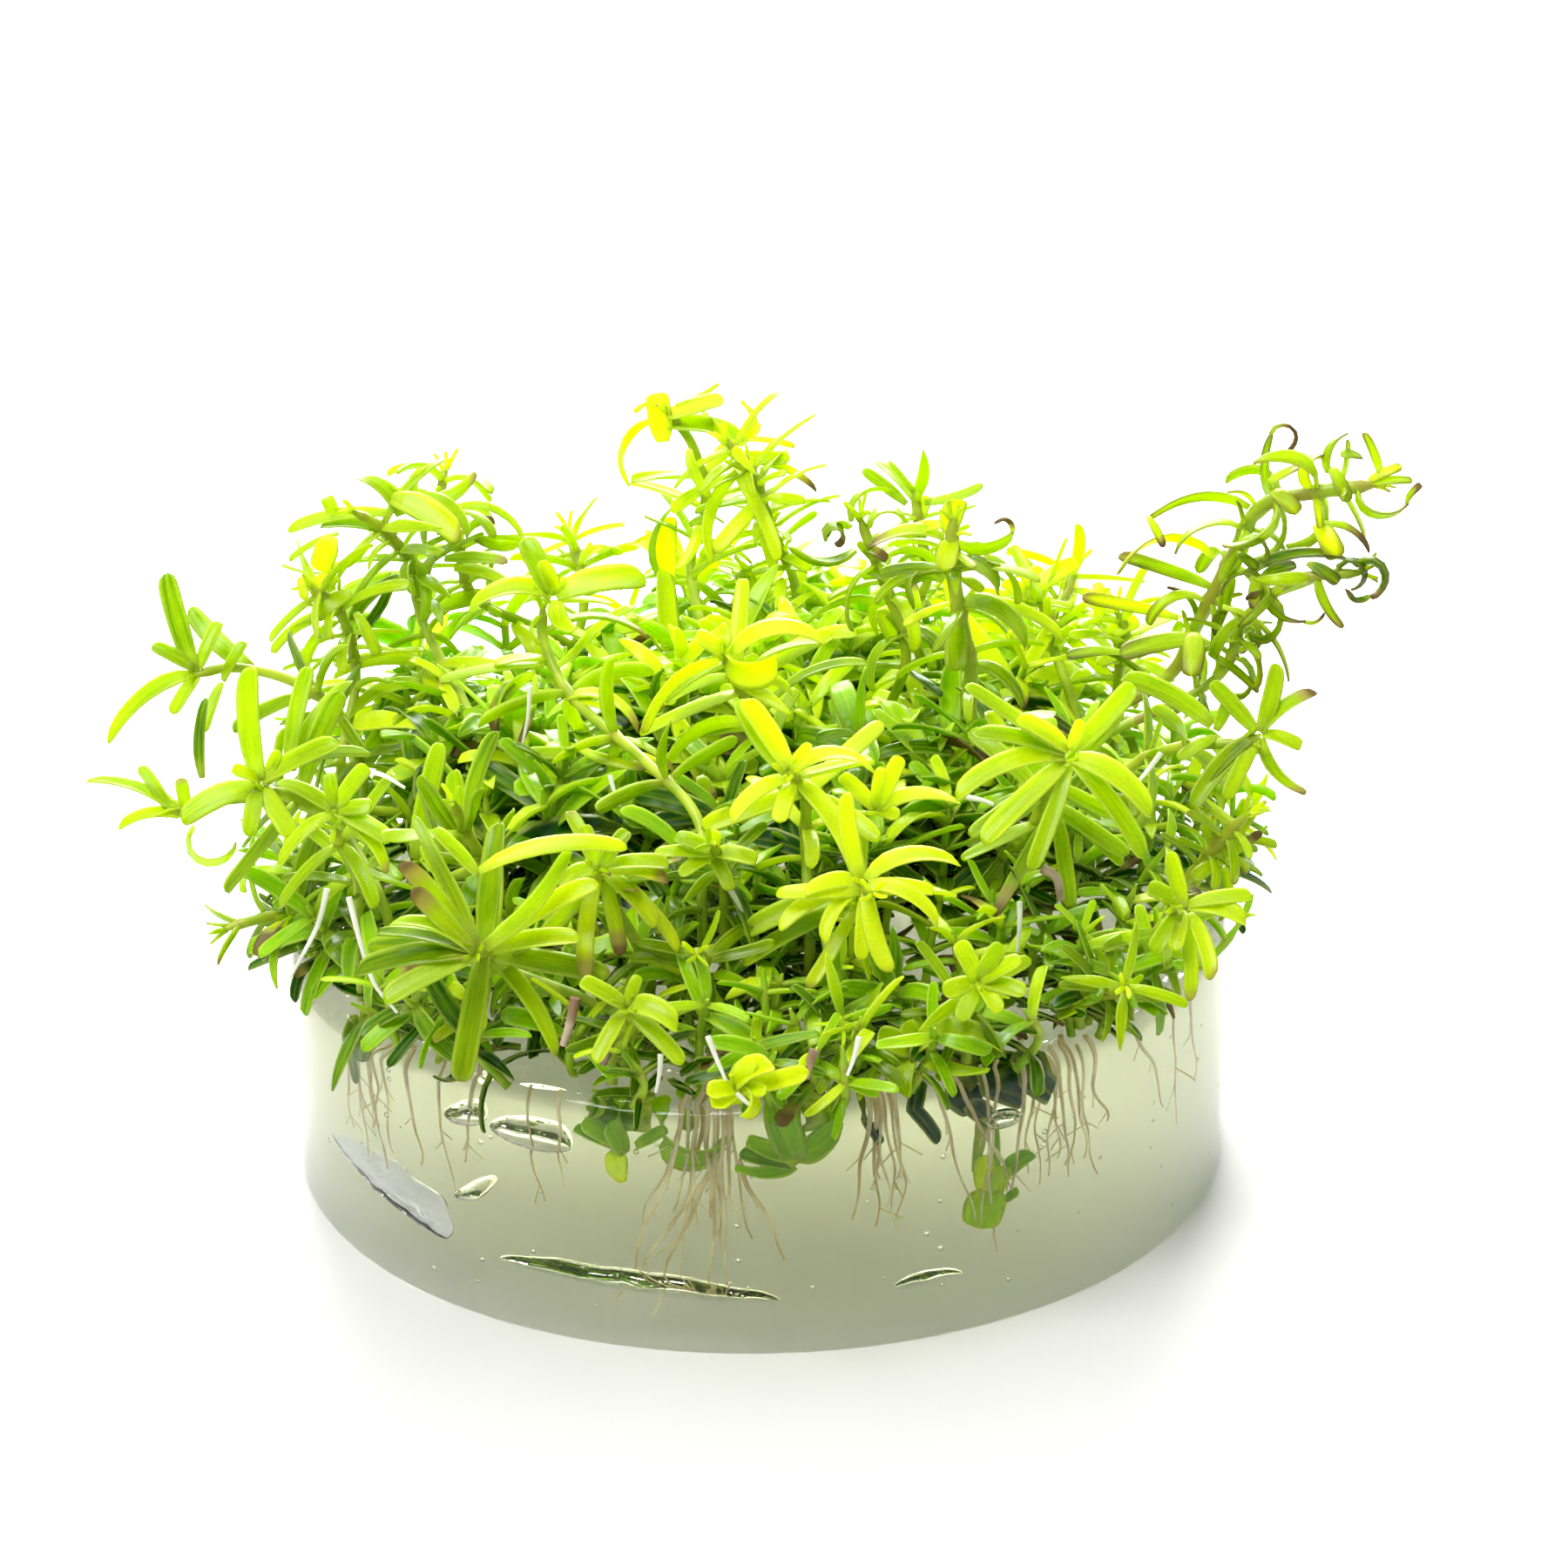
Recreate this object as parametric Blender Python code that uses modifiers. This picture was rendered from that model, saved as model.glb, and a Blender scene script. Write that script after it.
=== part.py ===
"""Rotala wayanad grown in tissue culture, standing on its round block of clear nutrient gel.

Frame: millimetres in the numbers below, metres in the scene, +Z up.  The origin is the
middle of the gel block's underside, the side with the front shoots faces -Y, +X is right.
"""
import math

import bmesh
import bpy
from mathutils import Matrix, Vector, noise
from mathutils.bvhtree import BVHTree

MM = 0.001
GAP = 0.3

# Gel block, cast in a round cup of 80 mm bore
GEL_RADIUS = 40.0
GEL_TOP = 21.4
GEL_SLOPE = 0.018
GEL_EDGE = 0.9
GEL_SIDES = 48
SPLIT_SIDES = 8

# Shoots: stems are square, leaves are thin straps that are widest past the middle
STEM_RADIUS = 0.75
LEAF_WIDTH_RATIO = 0.27
LEAF_WIDTH_MAX = 2.5
LEAF_THICK = 0.5
NODE_HALF_HEIGHT = 0.3
BUD_LENGTH = 1.2
BARE_STEM = 0.18            # share of the leafy stretch below the lowest pair
YOUNGER_GAIN = 0.06         # each pair up the stem is longer by this share
STEM_SPAN = 7.0             # longest stretch of stem drawn without a ring
STEM_FOOT = 1.05
STEM_TIP = 0.45
PATH_STEPS = 8              # points of the smooth line between two given ones
LOWER_RISE = 0.6            # share of the height that a stem rises straight from the gel

# What a leaf does where its first place is taken: turn, lean in degrees, share of its length
LEAF_TRIES = ((0, 0, 1.0), (14, 0, 1.0), (-14, 0, 1.0), (0, -16, 1.0), (0, 14, 0.9),
              (26, -12, 0.85), (-26, -12, 0.85), (0, 0, 0.7), (20, -24, 0.65),
              (-20, -24, 0.65), (0, 0, 0.5))

# Undergrowth tufts: cells around these middles, with a lane between them for the tall stems
TUFT_LANE = 2.4
TUFT_REACH = 43.5
TUFT_SIDES = 10
TUFT_LEVELS = ((0.0, 0.72), (0.32, 0.98), (0.62, 0.90), (0.80, 0.52))
TUFT_LEAF = 4.2
TUFT_LEAF_TIP = 0.26
TUFT_CROWN = 0.92           # height of the crown's middle, as a share of the tuft's
TUFT_LUMPS_OUT = 0.07
TUFT_LUMPS_UP = 0.14
TUFT_FOOT_INSET = 1.5       # how far a tuft's foot stays inside the gel's rim
SETTLE_ROUNDS = 80
SETTLE_DOWN = 0.97
SETTLE_IN = 0.95
TUFT_MIDDLES = {
    "tuft_centre_front": (2.0, -13.0, 14.5),
    "tuft_centre_left": (-15.0, 2.0, 17.0),
    "tuft_centre_right": (16.0, 1.0, 17.0),
    "tuft_centre_back": (1.0, 15.0, 18.0),
    "tuft_front": (3.0, -33.0, 9.0),
    "tuft_front_left": (-21.0, -25.0, 9.5),
    "tuft_left": (-33.0, -6.0, 11.5),
    "tuft_back_left": (-25.0, 21.0, 17.0),
    "tuft_back": (-3.0, 34.0, 17.0),
    "tuft_back_right": (21.0, 25.0, 17.0),
    "tuft_right": (34.0, 3.0, 12.5),
    "tuft_front_right": (24.0, -23.0, 10.5),
}

# Each shoot: the points its stem passes above the undergrowth, then its leaves.
# whorls: how many pairs below the crown, leaf: their length, spread: degrees from the stem,
# curl: degrees the leaf bends back, turn: degrees round the stem,
# crown: leaves at the tip as (count, length, spread, curl)
# root: where the stem meets the gel, if not in the nearest lane
SHOOTS = {
    "shoot_front_star": dict(
        path=[(8.0, -25, 31), (8.5, -29, 34.5), (9.0, -35, 37)],
        whorls=2, leaf=6.5, spread=75, curl=25, turn=4, crown=(4, 7.6, 84, 12)),
    "shoot_bright_cross": dict(
        path=[(4.0, -19, 34), (4.0, -20.5, 39), (3.0, -25, 43)],
        whorls=2, leaf=8.0, spread=72, curl=30, turn=35, crown=(4, 6.5, 80, 15)),
    "shoot_middle": dict(
        path=[(1.0, -5, 38), (-1.0, -7, 43), (-2.5, -10, 47.5)],
        whorls=2, leaf=8.5, spread=75, curl=35, turn=20, crown=(4, 6.0, 70, 35)),
    "shoot_left_cross": dict(
        path=[(-4.5, -19, 36.5), (-9.0, -13, 39.5), (-15.0, -4, 41.5), (-17.5, 0, 45),
              (-17.5, 0, 48.5)],
        whorls=3, leaf=7.5, spread=75, curl=30, turn=10, crown=(4, 8.0, 82, 15)),
    "shoot_front_left_star": dict(
        path=[(-20.0, -30, 29), (-20.5, -33, 31.5), (-21.0, -38.5, 34)],
        whorls=3, leaf=9.5, spread=78, curl=18, turn=30, crown=(4, 8.5, 84, 12)),
    "shoot_front_left_upright": dict(
        path=[(-22.0, -21, 34), (-23.0, -23, 38), (-23.5, -25, 41)],
        whorls=2, leaf=8.0, spread=45, curl=0, turn=60, crown=(2, 8.5, 25, 0)),
    "shoot_left_rosette": dict(
        path=[(-34.0, -11, 33), (-37.0, -14, 37), (-39.5, -17.5, 39)],
        whorls=2, leaf=9.0, spread=72, curl=10, turn=15, crown=(4, 9.0, 80, 8)),
    "shoot_left_outer": dict(
        path=[(-38.0, -3, 32), (-43.0, -4, 33), (-48.5, -5, 32.5)],
        whorls=1, leaf=6.5, spread=60, curl=30, turn=0, crown=(2, 8.5, 40, -10)),
    "shoot_left_high": dict(
        path=[(-36.0, 4, 38), (-39.5, 3, 41), (-44.0, 2, 42.5), (-47.0, 0, 42.5)],
        whorls=1, leaf=8.0, spread=60, curl=20, turn=0, crown=(4, 9.5, 62, 22)),
    "shoot_left_low": dict(
        path=[(-32.0, -19, 32), (-33.0, -21, 36), (-33.0, -24, 38.5)],
        whorls=2, leaf=6.5, spread=75, curl=25, turn=40, crown=(4, 6.0, 80, 20)),
    "shoot_left_sprig": dict(
        path=[(-37.5, -10, 25), (-41.0, -12, 25.5), (-44.0, -13, 25)], root=(-37.0, -8.5),
        whorls=1, leaf=5.0, spread=65, curl=20, turn=45, crown=(2, 4.5, 50, 15)),
    "shoot_upper_left_front": dict(
        path=[(-29.5, 20, 40), (-30.0, 20, 45), (-32.5, 19, 49), (-35.0, 17, 51.5)],
        whorls=4, leaf=8.0, spread=75, curl=35, turn=25, crown=(4, 6.5, 70, 40)),
    "shoot_upper_left_back": dict(
        path=[(-25.0, 26, 40), (-26.5, 26, 45), (-28.0, 27, 49), (-27.5, 28, 52)],
        whorls=3, leaf=7.5, spread=75, curl=40, turn=70, crown=(4, 6.0, 60, 40)),
    "shoot_upper_left_outer": dict(
        path=[(-35.0, 14, 37), (-36.0, 14, 43), (-38.5, 13, 46)],
        whorls=3, leaf=6.5, spread=75, curl=35, turn=0, crown=(4, 6.0, 75, 30)),
    "shoot_tall_back_left": dict(
        path=[(-6.0, 34, 40), (-4.5, 34, 46), (-5.5, 33, 52), (-8.0, 32, 56)],
        whorls=2, leaf=7.5, spread=60, curl=20, turn=50, crown=(4, 8.0, 80, 70)),
    "shoot_tall_back_right": dict(
        path=[(3.5, 30, 40), (1.5, 30, 45), (0.0, 30, 50), (-2.5, 29, 54)],
        whorls=4, leaf=7.5, spread=70, curl=30, turn=10, crown=(4, 6.0, 60, 45)),
    "shoot_back_small": dict(
        path=[(15.5, 31, 39), (15.0, 32, 44), (14.5, 33, 48)],
        whorls=2, leaf=6.0, spread=65, curl=10, turn=20, crown=(2, 6.0, 50, 0)),
    "shoot_curled": dict(
        path=[(13.0, 9, 40), (11.5, 9, 46), (10.0, 9, 50), (9.0, 9, 53)],
        whorls=3, leaf=6.5, spread=80, curl=60, turn=30, crown=(4, 4.5, 70, 80)),
    "shoot_thick": dict(
        path=[(18.5, -3, 38), (18.0, -2, 43), (17.0, -1, 48), (16.5, -1, 52), (16.5, -1, 56)],
        whorls=4, leaf=6.5, spread=80, curl=45, turn=5, crown=(4, 5.5, 75, 30), radius=1.0),
    "shoot_right_rosette": dict(
        path=[(22.0, -17, 34), (23.0, -20, 39), (24.0, -25, 43.5)],
        whorls=3, leaf=8.0, spread=78, curl=20, turn=45, crown=(4, 8.5, 82, 15)),
    "shoot_right_middle": dict(
        path=[(31.0, -7, 36), (35.0, -9, 38.5), (40.0, -11, 39.5)],
        whorls=2, leaf=7.5, spread=75, curl=20, turn=30, crown=(4, 7.0, 75, 15)),
    "shoot_right_arch": dict(
        path=[(35.0, 8, 38), (37.5, 7, 43), (40.5, 6, 50), (42.5, 5, 54.5), (46.5, 4, 56),
              (52.0, 3, 57.0)],
        whorls=6, leaf=7.5, spread=75, curl=45, turn=20, crown=(4, 5.5, 60, 30), radius=1.0),
    "shoot_right_arch_side": dict(
        path=[(38.5, 2, 40), (41.0, 1, 46), (45.0, -1, 50), (50.5, -2, 51)],
        whorls=4, leaf=6.0, spread=75, curl=60, turn=60, crown=(4, 4.5, 60, 80)),
    "shoot_right_back_inner": dict(
        path=[(26.0, 18, 38.5), (25.5, 19, 41), (24.5, 19, 43)],
        whorls=1, leaf=6.0, spread=65, curl=10, turn=0, crown=(4, 5.5, 50, 0)),
    "shoot_right_back_outer": dict(
        path=[(32.0, 16, 36), (32.5, 16, 39.5), (31.5, 16, 42)],
        whorls=2, leaf=6.0, spread=65, curl=25, turn=40, crown=(4, 5.0, 60, 20)),
    "shoot_right_edge": dict(
        path=[(36.5, -13, 30), (38.5, -14, 33), (40.0, -15, 35)], root=(35.0, -12.0),
        whorls=2, leaf=4.5, spread=70, curl=20, turn=10, crown=(4, 4.5, 70, 15)),
    "shoot_right_low": dict(
        path=[(31.5, -24, 28), (32.5, -26, 31), (32.5, -28, 32.5)], root=(30.5, -21.5),
        whorls=1, leaf=5.5, spread=70, curl=20, turn=25, crown=(4, 5.5, 75, 15)),
    "shoot_front_left_low": dict(
        path=[(-10.0, -36, 25.5), (-9.5, -38, 28), (-9.5, -40.5, 30)],
        whorls=1, leaf=5.0, spread=75, curl=20, turn=45, crown=(4, 5.5, 80, 15)),
    "shoot_front_middle": dict(
        path=[(-4.0, -30, 29), (-4.5, -32.5, 31), (-4.5, -35, 32)], root=(-5.5, -27.0),
        whorls=1, leaf=5.0, spread=75, curl=20, turn=10, crown=(4, 5.0, 80, 15)),
    "shoot_front_low": dict(
        path=[(0.5, -38.5, 23.5), (-0.5, -41, 24.5), (-1.0, -43, 25)], root=(0.5, -37.8),
        whorls=1, leaf=4.5, spread=70, curl=20, turn=0, crown=(4, 4.5, 75, 10)),
    "shoot_front_right_low": dict(
        path=[(7.5, -36.5, 25), (7.0, -39, 27.5), (6.5, -41, 28.5)], root=(8.0, -36.0),
        whorls=1, leaf=4.5, spread=75, curl=20, turn=45, crown=(4, 4.8, 80, 10)),
    "shoot_front_right": dict(
        path=[(15.5, -34, 27), (16.5, -36, 29), (17.5, -38, 30)],
        whorls=2, leaf=5.5, spread=75, curl=20, turn=30, crown=(4, 5.5, 80, 12)),
    "shoot_front_right_outer": dict(
        path=[(27.5, -29, 25.5), (28.5, -31, 27), (28.5, -33, 28)], root=(25.5, -28.0),
        whorls=1, leaf=4.5, spread=75, curl=20, turn=20, crown=(4, 4.5, 80, 10)),
    "shoot_centre_small": dict(
        path=[(-2.5, -24, 34), (-3.0, -26.5, 37), (-3.5, -28.5, 38.5)],
        whorls=1, leaf=4.5, spread=75, curl=15, turn=45, crown=(4, 4.5, 80, 10)),
    "shoot_front_left_inner": dict(
        path=[(-11.5, -28, 34), (-12.0, -30, 36.5), (-12.0, -32, 38)],
        whorls=1, leaf=6.5, spread=80, curl=50, turn=0, crown=(4, 6.0, 80, 35)),
    "shoot_behind_left": dict(
        path=[(-16.0, 35, 36), (-16.5, 37, 40), (-17.5, 39, 42.5)],
        whorls=2, leaf=6.5, spread=70, curl=25, turn=30, crown=(4, 6.0, 70, 20)),
    "shoot_behind_right": dict(
        path=[(27.0, 30, 34), (28.5, 32, 38), (29.5, 34, 40)],
        whorls=2, leaf=6.5, spread=70, curl=25, turn=0, crown=(4, 6.0, 70, 20)),
}

# Pieces sunk in the gel.  Root fans: top point, foot point, radius at the top and at the foot
ROOT_SIDES = 8
ROOT_FLAT = 0.55            # depth of a fan against its width
POCKET_ABOVE = 3.0          # how far a pocket's cutter stands out of the gel
ROOT_FANS = {
    "roots_front": ((-3.5, -35.0, 20.5), (-4.5, -34.5, 6.5), 2.0, 4.5),
    "roots_front_right": ((9.5, -35.0, 20.5), (9.5, -35.0, 11.0), 1.0, 1.8),
    "roots_right": ((23.5, -28.0, 20.5), (24.5, -27.0, 11.5), 1.6, 2.2),
    "roots_left": ((-30.5, -20.0, 18.5), (-30.0, -20.5, 10.5), 1.6, 2.0),
    "roots_back": ((2.0, 33.0, 20.5), (3.0, 33.5, 8.5), 1.8, 3.0),
}
SUNKEN_SPRIGS = {
    "sprig_sunk_left": dict(
        path=[(-8.0, -33.5, 17.4), (-10.5, -33.2, 17.4), (-13.0, -32.4, 17.6)],
        whorls=1, leaf=2.8, spread=70, curl=0, turn=0, crown=(2, 2.8, 60, 0), radius=0.7),
    "sprig_sunk_middle": dict(
        path=[(5.6, -34.0, 19.0), (4.2, -34.2, 17.8), (2.6, -34.2, 17.0)],
        whorls=1, leaf=3.0, spread=70, curl=0, turn=0, crown=(2, 3.2, 60, 0), radius=0.7),
    "sprig_sunk_deep": dict(
        path=[(16.8, -30.8, 16.5), (16.6, -31.0, 14.0), (16.2, -31.2, 11.9)],
        whorls=1, leaf=3.2, spread=50, curl=0, turn=0, crown=(2, 3.4, 35, 0), radius=0.7),
}

# Splits in the gel's wall: middle as degrees round and height, then length, height, depth
# and how many degrees the split climbs
WALL_CUTS = {
    "cut_front": (-104.0, 5.3, 24.0, 1.5, 2.2, -1.5),
    "cut_right": (-70.5, 5.2, 5.8, 0.8, 1.6, 2.0),
    "cut_left": (-146.0, 8.0, 20.0, 2.4, 2.6, -3.0),
    "cut_left_facet": (-128.5, 9.6, 2.2, 4.6, 2.0, 6.0),
}

GEL_COLOUR = (0.74, 0.79, 0.62)
ROOT_COLOUR = (0.85, 0.80, 0.66)
UNDERGROWTH_COLOUR = (0.10, 0.36, 0.03)
SHOOT_COLOUR = (0.36, 0.64, 0.04)


def clear_scene():
    for item in list(bpy.data.objects):
        bpy.data.objects.remove(item, do_unlink=True)


def new_collection(name):
    group = bpy.data.collections.new(name)
    bpy.context.scene.collection.children.link(group)
    return group


def make_material(name, colour, roughness, clear=0.0):
    finish = bpy.data.materials.new(name)
    finish.use_nodes = True
    shader = finish.node_tree.nodes["Principled BSDF"]
    shader.inputs["Base Color"].default_value = (*colour, 1.0)
    shader.inputs["Roughness"].default_value = roughness
    shader.inputs["Metallic"].default_value = 0.0
    shader.inputs["Transmission Weight"].default_value = clear
    return finish


def add_object(name, bm, origin, group, finish=None):
    """Store a mesh drawn in millimetres as an object whose origin is the given point."""
    bmesh.ops.translate(bm, verts=bm.verts, vec=-Vector(origin))
    bmesh.ops.scale(bm, verts=bm.verts, vec=(MM, MM, MM))
    mesh = bpy.data.meshes.new(name)
    bm.to_mesh(mesh)
    bm.free()
    item = bpy.data.objects.new(name, mesh)
    item.location = Vector(origin) * MM
    group.objects.link(item)
    if finish:
        mesh.materials.append(finish)
    return item


def gel_top(x):
    """Height of the gel's top, which sinks a little towards the left."""
    return GEL_TOP + GEL_SLOPE * x


def smooth_path(points):
    """Points of a Catmull-Rom curve through the given ones."""
    knots = [Vector(p) for p in points]
    knots = [2 * knots[0] - knots[1], *knots, 2 * knots[-1] - knots[-2]]
    path = []
    for i in range(1, len(knots) - 2):
        a, b, c, d = knots[i - 1:i + 3]
        for k in range(PATH_STEPS):
            t = k / PATH_STEPS
            path.append(0.5 * (2 * b + (c - a) * t + (2 * a - 5 * b + 4 * c - d) * t * t
                               + (3 * b - a - 3 * c + d) * t ** 3))
    path.append(knots[-2])
    return path


class Stem:
    """A smooth line with a frame that follows it without twisting."""

    def __init__(self, points):
        self.points = smooth_path(points)
        self.lengths = [0.0]
        for a, b in zip(self.points, self.points[1:]):
            self.lengths.append(self.lengths[-1] + (b - a).length)
        self.length = self.lengths[-1]
        self.sides = []
        side = Vector((1, 0, 0))
        for i in range(len(self.points)):
            ahead = self.direction(i)
            side = (side - side.dot(ahead) * ahead).normalized()
            self.sides.append(side)

    def direction(self, i):
        a = self.points[max(i - 1, 0)]
        b = self.points[min(i + 1, len(self.points) - 1)]
        return (b - a).normalized()

    def frame(self, along):
        """Point, direction and two side axes at a length along the stem."""
        along = min(max(along, 0.0), self.length)
        i = 0
        while i < len(self.points) - 2 and self.lengths[i + 1] < along:
            i += 1
        t = (along - self.lengths[i]) / (self.lengths[i + 1] - self.lengths[i])
        point = self.points[i].lerp(self.points[i + 1], t)
        ahead = self.direction(i).lerp(self.direction(i + 1), t).normalized()
        side = self.sides[i].lerp(self.sides[i + 1], t)
        side = (side - side.dot(ahead) * ahead).normalized()
        return point, ahead, side, ahead.cross(side)


class Leaf:
    """A strap leaf as a few cross-sections, each with four corners."""

    # Sections as fraction of the length, share of the width, share of the thickness
    STEPS = ((0.5, 1.0, 1.0), (1.0, 0.55, 0.7))
    FOOT = (0.12, 0.8)
    CLEAR_OF_STEM = 0.35

    def __init__(self, point, ahead, outward, half, length, spread, curl, turn):
        outward = Matrix.Rotation(math.radians(turn), 3, ahead) @ outward
        lean = math.radians(spread)
        self.base = point + outward * half
        self.along = outward * math.sin(lean) + ahead * math.cos(lean)
        self.up = ahead * math.sin(lean) - outward * math.cos(lean)
        self.across = self.along.cross(self.up)
        self.length = length
        self.curl = math.radians(curl) or 0.001
        self.width = min(length * LEAF_WIDTH_RATIO, LEAF_WIDTH_MAX)

    def section(self, part, width, thick, extra=0.0):
        """Corners at a fraction of the leaf: under left, under right, over right, over left."""
        bend = self.curl * part
        reach = self.length / self.curl
        middle = (self.base + self.along * reach * math.sin(bend)
                  - self.up * reach * (1 - math.cos(bend)))
        over = self.up * math.cos(bend) + self.along * math.sin(bend)
        wide = self.across * (width / 2 + extra)
        high = over * (thick / 2 + extra)
        return [middle - wide - high, middle + wide - high, middle + wide + high,
                middle - wide + high]

    def sections(self, extra=0.0):
        return [self.section(part, self.width * wide, LEAF_THICK * thick, extra)
                for part, wide, thick in self.STEPS]

    def skin(self, extra=0.0, outer_only=False):
        """Corners and faces of the leaf, swollen by extra, for finding what it would touch."""
        part, wide = self.FOOT
        rings = [self.section(self.CLEAR_OF_STEM if outer_only else part, self.width * wide,
                              LEAF_THICK, extra)]
        for part, wide, _ in self.STEPS:
            beyond = extra / self.length if part == 1.0 else 0.0
            rings.append(self.section(part + beyond, self.width * wide, LEAF_THICK, extra))
        corners = [corner for ring in rings for corner in ring]
        faces = [(0, 1, 2, 3), (8, 9, 10, 11)]
        for ring in range(2):
            for k in range(4):
                a, b = 4 * ring + k, 4 * ring + (k + 1) % 4
                faces.append((a, b, b + 4, a + 4))
        return corners, faces


def tree_of(skins):
    corners, faces = [], []
    for own_corners, own_faces in skins:
        shift = len(corners)
        corners += own_corners
        faces += [tuple(k + shift for k in face) for face in own_faces]
    return BVHTree.FromPolygons(corners, faces) if faces else None


class Shoot:
    """One shoot: its stem, the heights of its leaf nodes, and its leaves."""

    def __init__(self, path, whorls, leaf, spread, curl, turn, crown, radius=STEM_RADIUS,
                 bare=0.0):
        self.stem = Stem(path)
        self.half = radius * math.sqrt(0.5)
        self.radius = radius
        self.turn = turn
        crown_at = self.stem.length - BUD_LENGTH
        first = bare + BARE_STEM * (crown_at - bare)
        gap = (crown_at - first) / max(whorls, 1)
        self.nodes = []
        for k in range(whorls):
            sides = (0, 2) if (whorls - k) % 2 else (1, 3)
            grown = leaf * (1.0 - YOUNGER_GAIN * (whorls - 1 - k))
            self.nodes.append((first + gap * k, sides, grown, spread, curl))
        count, length, crown_spread, crown_curl = crown
        sides = (0, 1, 2, 3) if count == 4 else (1, 3)
        self.nodes.append((crown_at, sides, length, crown_spread, crown_curl))
        self.leaves = {}

    def corner_ring(self, along, radius):
        point, _, side, other = self.stem.frame(along)
        ring = []
        for k in range(4):
            angle = math.radians(self.turn + 90 * k - 45)
            ring.append(point + radius * (side * math.cos(angle) + other * math.sin(angle)))
        return ring

    def stations(self):
        """Lengths along the stem where its mesh has a ring, and how thick it is there."""
        marks = [(0.0, STEM_FOOT)]
        last = 0.0
        for at, *_ in self.nodes:
            if at - last > STEM_SPAN:
                marks.append(((at + last) / 2, 1.0))
            marks.append((at - NODE_HALF_HEIGHT, 1.0))
            marks.append((at + NODE_HALF_HEIGHT, 1.0))
            last = at
        marks.append((self.stem.length, STEM_TIP))
        return marks

    def stem_skin(self, extra=0.0):
        rings = [self.corner_ring(at, self.radius * scale + extra)
                 for at, scale in self.stations()]
        corners = [corner for ring in rings for corner in ring]
        faces = [(0, 1, 2, 3), tuple(len(corners) - 4 + k for k in range(4))]
        for ring in range(len(rings) - 1):
            for k in range(4):
                a, b = 4 * ring + k, 4 * ring + (k + 1) % 4
                faces.append((a, b, b + 4, a + 4))
        return corners, faces

    def grow_leaves(self, obstacles):
        """Place each leaf where it clears the obstacles, turned or shortened if it must be."""
        for at, sides, length, spread, curl in self.nodes:
            point, ahead, side, other = self.stem.frame(at)
            for k in sides:
                angle = math.radians(self.turn + 90 * k)
                outward = side * math.cos(angle) + other * math.sin(angle)
                own = tree_of([leaf.skin(0.0, True) for leaf in self.leaves.values()])
                for turn, lean, scale in LEAF_TRIES:
                    leaf = Leaf(point, ahead, outward, self.half, length * scale,
                                spread + lean, curl, turn)
                    whole = tree_of([leaf.skin(GAP)])
                    if any(whole.overlap(other_tree) for other_tree in obstacles):
                        continue
                    if own and tree_of([leaf.skin(0.05, True)]).overlap(own):
                        continue
                    self.leaves[(at, k)] = leaf
                    break

    def build(self, name, group, finish):
        """Draw the stem ring by ring, pulling the leaves out of its sides at each node."""
        marks = self.stations()
        bm = bmesh.new()
        bmesh.ops.create_circle(bm, cap_ends=True, segments=4, radius=self.radius)
        bm.faces.ensure_lookup_table()
        cap = bm.faces[0]
        foot = self.corner_ring(marks[0][0], self.radius * marks[0][1])
        for vert, corner in zip(cap.verts, foot):
            vert.co = corner
        for at, scale in marks[1:]:
            cap, walls = pull(bm, cap, self.corner_ring(at, self.radius * scale))
            for (node, _), leaf in self.leaves.items():
                if abs(at - NODE_HALF_HEIGHT - node) < 1e-6:
                    wall = nearest_face(walls, leaf.base)
                    walls.remove(wall)
                    for section in leaf.sections():
                        wall, _ = pull(bm, wall, section)
        close(bm)
        return add_object(name, bm, self.stem.points[0], group, finish)


def place(face, corners):
    """Move a face's corners to the given ones, pairing them so that the face is not twisted."""
    verts = list(face.verts)
    count = len(verts)
    middle = sum((v.co for v in verts), Vector()) / count
    target = sum(corners, Vector()) / count
    orders = []
    for flip in (1, -1):
        for shift in range(count):
            order = [corners[(flip * k + shift) % count] for k in range(count)]
            miss = sum(((v.co - middle) - (c - target)).length for v, c in zip(verts, order))
            orders.append((miss, len(orders), order))
    for vert, corner in zip(verts, min(orders)[2]):
        vert.co = corner


def pull(bm, face, corners):
    """Extrude one face to new corners; give the new end face and the walls beside it."""
    before = set(bm.faces) - {face}
    made = bmesh.ops.extrude_discrete_faces(bm, faces=[face])
    end = made["faces"][0]
    walls = [item for item in bm.faces if item not in before and item is not end]
    place(end, corners)
    return end, walls


def nearest_face(faces, point):
    return min(faces, key=lambda face: (face.calc_center_median() - point).length)


def close(bm):
    """Fill the open foot of a drawn piece and turn its faces outwards."""
    rim = [edge for edge in bm.edges if edge.is_boundary]
    bmesh.ops.holes_fill(bm, edges=rim, sides=0)
    bmesh.ops.recalc_face_normals(bm, faces=bm.faces)


def lane_point(x, y):
    """The nearest point midway between two tufts, kept on the gel."""
    spot = Vector((x, y))
    near = sorted((Vector(v[:2]) for v in TUFT_MIDDLES.values()),
                  key=lambda middle: (middle - spot).length)[:2]
    across = (near[1] - near[0]).normalized()
    spot -= across * (spot - (near[0] + near[1]) / 2).dot(across)
    if spot.length > GEL_RADIUS - 2.5:
        spot *= (GEL_RADIUS - 2.5) / spot.length
    return spot


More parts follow.
